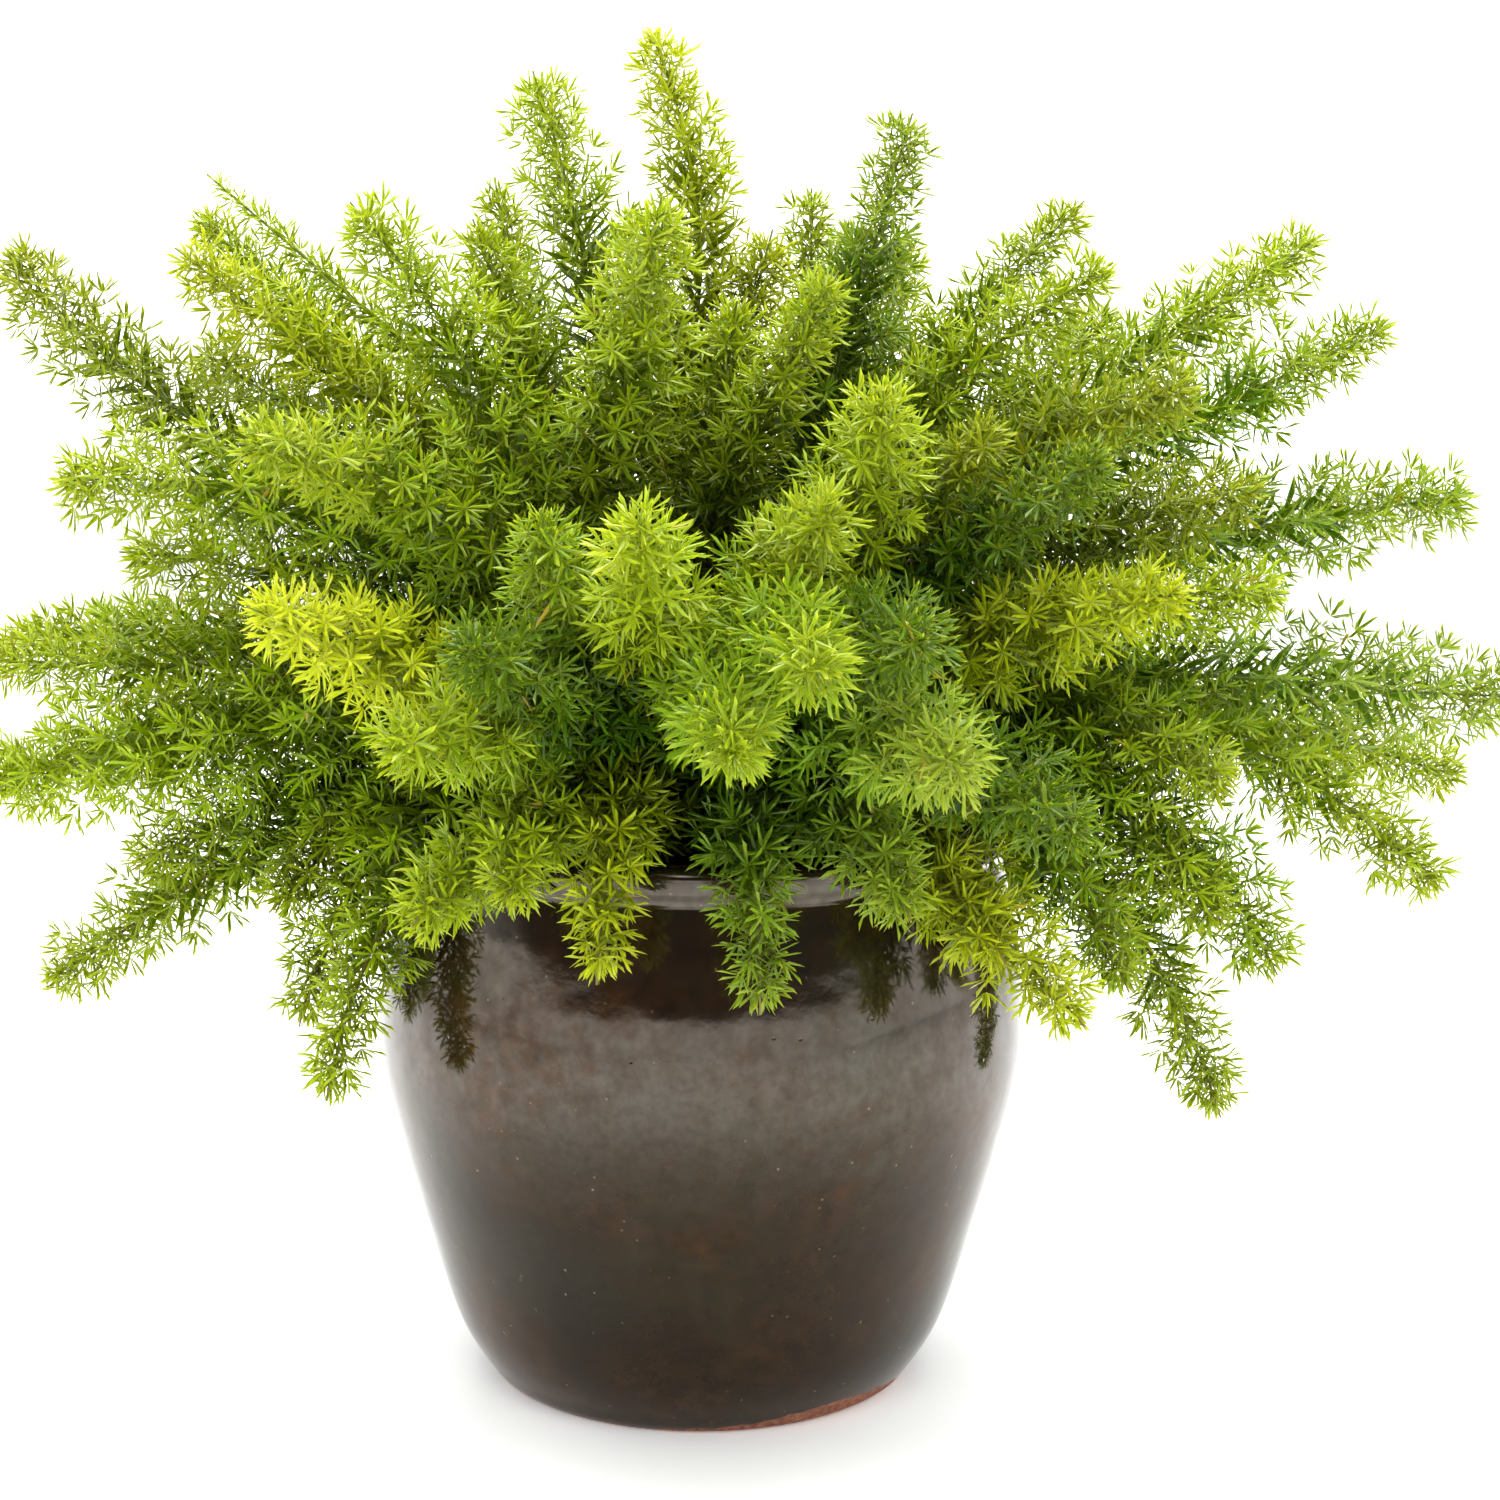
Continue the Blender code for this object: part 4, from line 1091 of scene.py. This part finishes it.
def waxyNeedles(tone, colours):
    # Living needle leaves: thin wax over green that lets light through, with painted shade that darkens them
    # inside the plant and inside each plume, and yellower at a plume's young end
    shadeColour, usual, young = colours
    material, tree = newMaterial("waxy_needles_" + tone)
    growth = addNode(tree, "Attribute", {"attribute_name": "growth"})
    parts = addNode(tree, "SeparateXYZ", {}, {0: growth.outputs["Vector"]})
    chance, out, grown = parts.outputs[0], parts.outputs[1], parts.outputs[2]
    place = addNode(tree, "TexCoord").outputs["Object"]
    patch = noiseAt(tree, place, 60, 2)
    age = ranged(tree, grown, 0.35, 1.0, 0.0, 0.8)
    age = sums(tree, "ADD", age, ranged(tree, chance, 0, 1, -0.25, 0.25))
    age = sums(tree, "ADD", age, ranged(tree, patch, 0.3, 0.7, -0.2, 0.2))
    colour = blendColours(tree, age, usual, young)
    # Painted shade: darker towards the plant's middle, and towards each plume's stem
    middle = addNode(tree, "Mapping", {"Location": (0, 0, -leafLook["middle"] * mm)}, {"Vector": place})
    outward = addNode(tree, "VectorMath", {"operation": "LENGTH"}, {0: middle.outputs[0]}).outputs["Value"]
    near, far = leafLook["shadeAt"]
    shade = ranged(tree, outward, far * mm, near * mm, 0.0, leafLook["shade"])
    near, far = leafLook["deepAt"]
    deepness = ranged(tree, outward, near * mm, far * mm, leafLook["deepNear"], leafLook["deepFar"])
    deep = sums(tree, "MULTIPLY", deepness, ranged(tree, out, leafLook["deepTo"], leafLook["deepFrom"]))
    colour = blendColours(tree, sums(tree, "MAXIMUM", shade, deep), colour, shadeColour)
    straw = ranged(tree, chance, 1 - strawLook["share"], 1 - strawLook["share"] + 0.002)
    colour = blendColours(tree, straw, colour, strawLook["colour"])
    settings = {
        "IOR": 1.45, "Specular IOR Level": 0.32, "Roughness": 0.3,
        "Subsurface Weight": leafLook["through"], "Subsurface Radius": (1.0, 1.0, 0.3),
        "Subsurface Scale": leafLook["depth"] * mm,
    }
    surface = addNode(tree, "BsdfPrincipled", settings, {"Base Color": colour})
    finishMaterial(tree, surface)
    return material


def greenStem(look):
    # Smooth green stem, browner at its foot
    material, tree = newMaterial("smooth_green_stem")
    place = addNode(tree, "TexCoord").outputs["Object"]
    height = addNode(tree, "SeparateXYZ", {}, {0: place}).outputs[2]
    foot = ranged(tree, height, look["soilTop"] * mm, (look["soilTop"] + 40) * mm, 1.0, 0.0)
    streak = ranged(tree, noiseAt(tree, place, 6, 3), 0.3, 0.7)
    colour = blendColours(tree, streak, look["bare"], look["streak"])
    colour = blendColours(tree, foot, colour, look["bareBase"])
    surface = addNode(tree, "BsdfPrincipled", {"IOR": 1.45, "Roughness": 0.5}, {"Base Color": colour})
    finishMaterial(tree, surface)
    return material


plantMaterials = {tone: waxyNeedles(tone, colours) for tone, colours in leafTones.items()}
plantMaterials["stem"] = greenStem(stemLook)
triangles = 0
for number, plume in enumerate(plumes):
    if not plume.shares:
        piece = modelPlume(plume, number, plantMaterials)
        triangles += len(piece.data.polygons)
        dropIn("leafy_" + plume.name, piece, plume.name)
print("plumes:", triangles, "faces")


# The studio: pale floor, white surroundings, a large soft light in front and one above

studioLook = {
    "floorSize": 14,
    "floorFront": -2.4,
    # the floor's glow is painted light, which lightens its shadows
    "glow": 0.2,
    "backdrop": 1.6,        # brightness of the white backdrop behind and at the sides
    "room": 0.09,           # of the room behind the camera
    "skirting": 1.8,        # and of whatever stands near the floor all round
    "lensLength": 62.4,
    "sensor": 36,
    "eye": (0, -1.30, 0.50),
    "lookDown": 8,
    "lookRight": 1.04,
    "roll": 0.4,
}


def paleFloor():
    # White acrylic sheet that glows faintly, a painted light which keeps shadows light
    material, tree = newMaterial("matt_white_acrylic")
    place = addNode(tree, "TexCoord").outputs["Object"]
    grain = ranged(tree, noiseAt(tree, place, 2, 3), 0.3, 0.7)
    colour = blendColours(tree, grain, "#fafafa", "#ffffff")
    settings = {"Roughness": 0.9, "Specular IOR Level": 0.1, "Emission Strength": studioLook["glow"]}
    surface = addNode(tree, "BsdfPrincipled", settings, {"Base Color": colour, "Emission Color": colour})
    finishMaterial(tree, surface)
    deselectAll()
    middle = (0, studioLook["floorSize"] / 2 + studioLook["floorFront"], 0)
    bpy.ops.mesh.primitive_plane_add(size=studioLook["floorSize"], location=middle)
    floor = newest("floor")
    floor.data.materials.append(material)


def softbox(name, place, target, width, height, radiance):
    # A flat light whose face has this radiance
    lamp = bpy.data.lights.new(name, "AREA")
    lamp.shape = "RECTANGLE"
    lamp.size = width
    lamp.size_y = height
    lamp.energy = radiance * math.pi * width * height
    box = newObject(name, lamp)
    box.location = place
    box.rotation_euler = (Vector(target) - Vector(place)).to_track_quat("-Z", "Y").to_euler()
    box.visible_camera = False


def surroundings(look):
    # White behind and at the sides, and dark behind the camera
    world = bpy.data.worlds.new("studio_surroundings")
    bpy.context.scene.world = world
    world.use_nodes = True
    tree = world.node_tree
    background = tree.nodes["Background"]
    background.inputs["Color"].default_value = (1, 1, 1, 1)
    towards = addNode(tree, "SeparateXYZ", {}, {0: addNode(tree, "TexCoord").outputs["Generated"]})
    behind = ranged(tree, towards.outputs[1], -0.4, 0.2, look["room"], look["backdrop"])
    low = ranged(tree, towards.outputs[2], 0.13, 0.09, 0.0, look["skirting"])
    tree.links.new(sums(tree, "MAXIMUM", behind, low), background.inputs["Strength"])


def setUpStudio(look):
    paleFloor()
    surroundings(look)
    softbox("front_softbox", (0.0, -2.3, 2.5), (0, 0, 0.4), 3.2, 1.6, 2.6)
    softbox("top_softbox", (0.0, 0.2, 2.6), (0, 0, 0.4), 2.4, 2.4, 5.3)
    bpy.context.scene.view_settings.view_transform = "Standard"
    bpy.context.scene.view_settings.look = "Medium High Contrast"
    lens = bpy.data.cameras.new("camera")
    lens.lens = look["lensLength"]
    lens.sensor_width = look["sensor"]
    lens.clip_end = 100
    camera = newObject("camera", lens)
    camera.location = look["eye"]
    turn = Matrix.Rotation(math.radians(-look["lookRight"]), 3, "Z")
    turn = turn @ Matrix.Rotation(math.radians(90 - look["lookDown"]), 3, "X")
    camera.rotation_euler = (turn @ Matrix.Rotation(math.radians(look["roll"]), 3, "Z")).to_euler()
    bpy.context.scene.camera = camera


setUpStudio(studioLook)
print("studio ready")
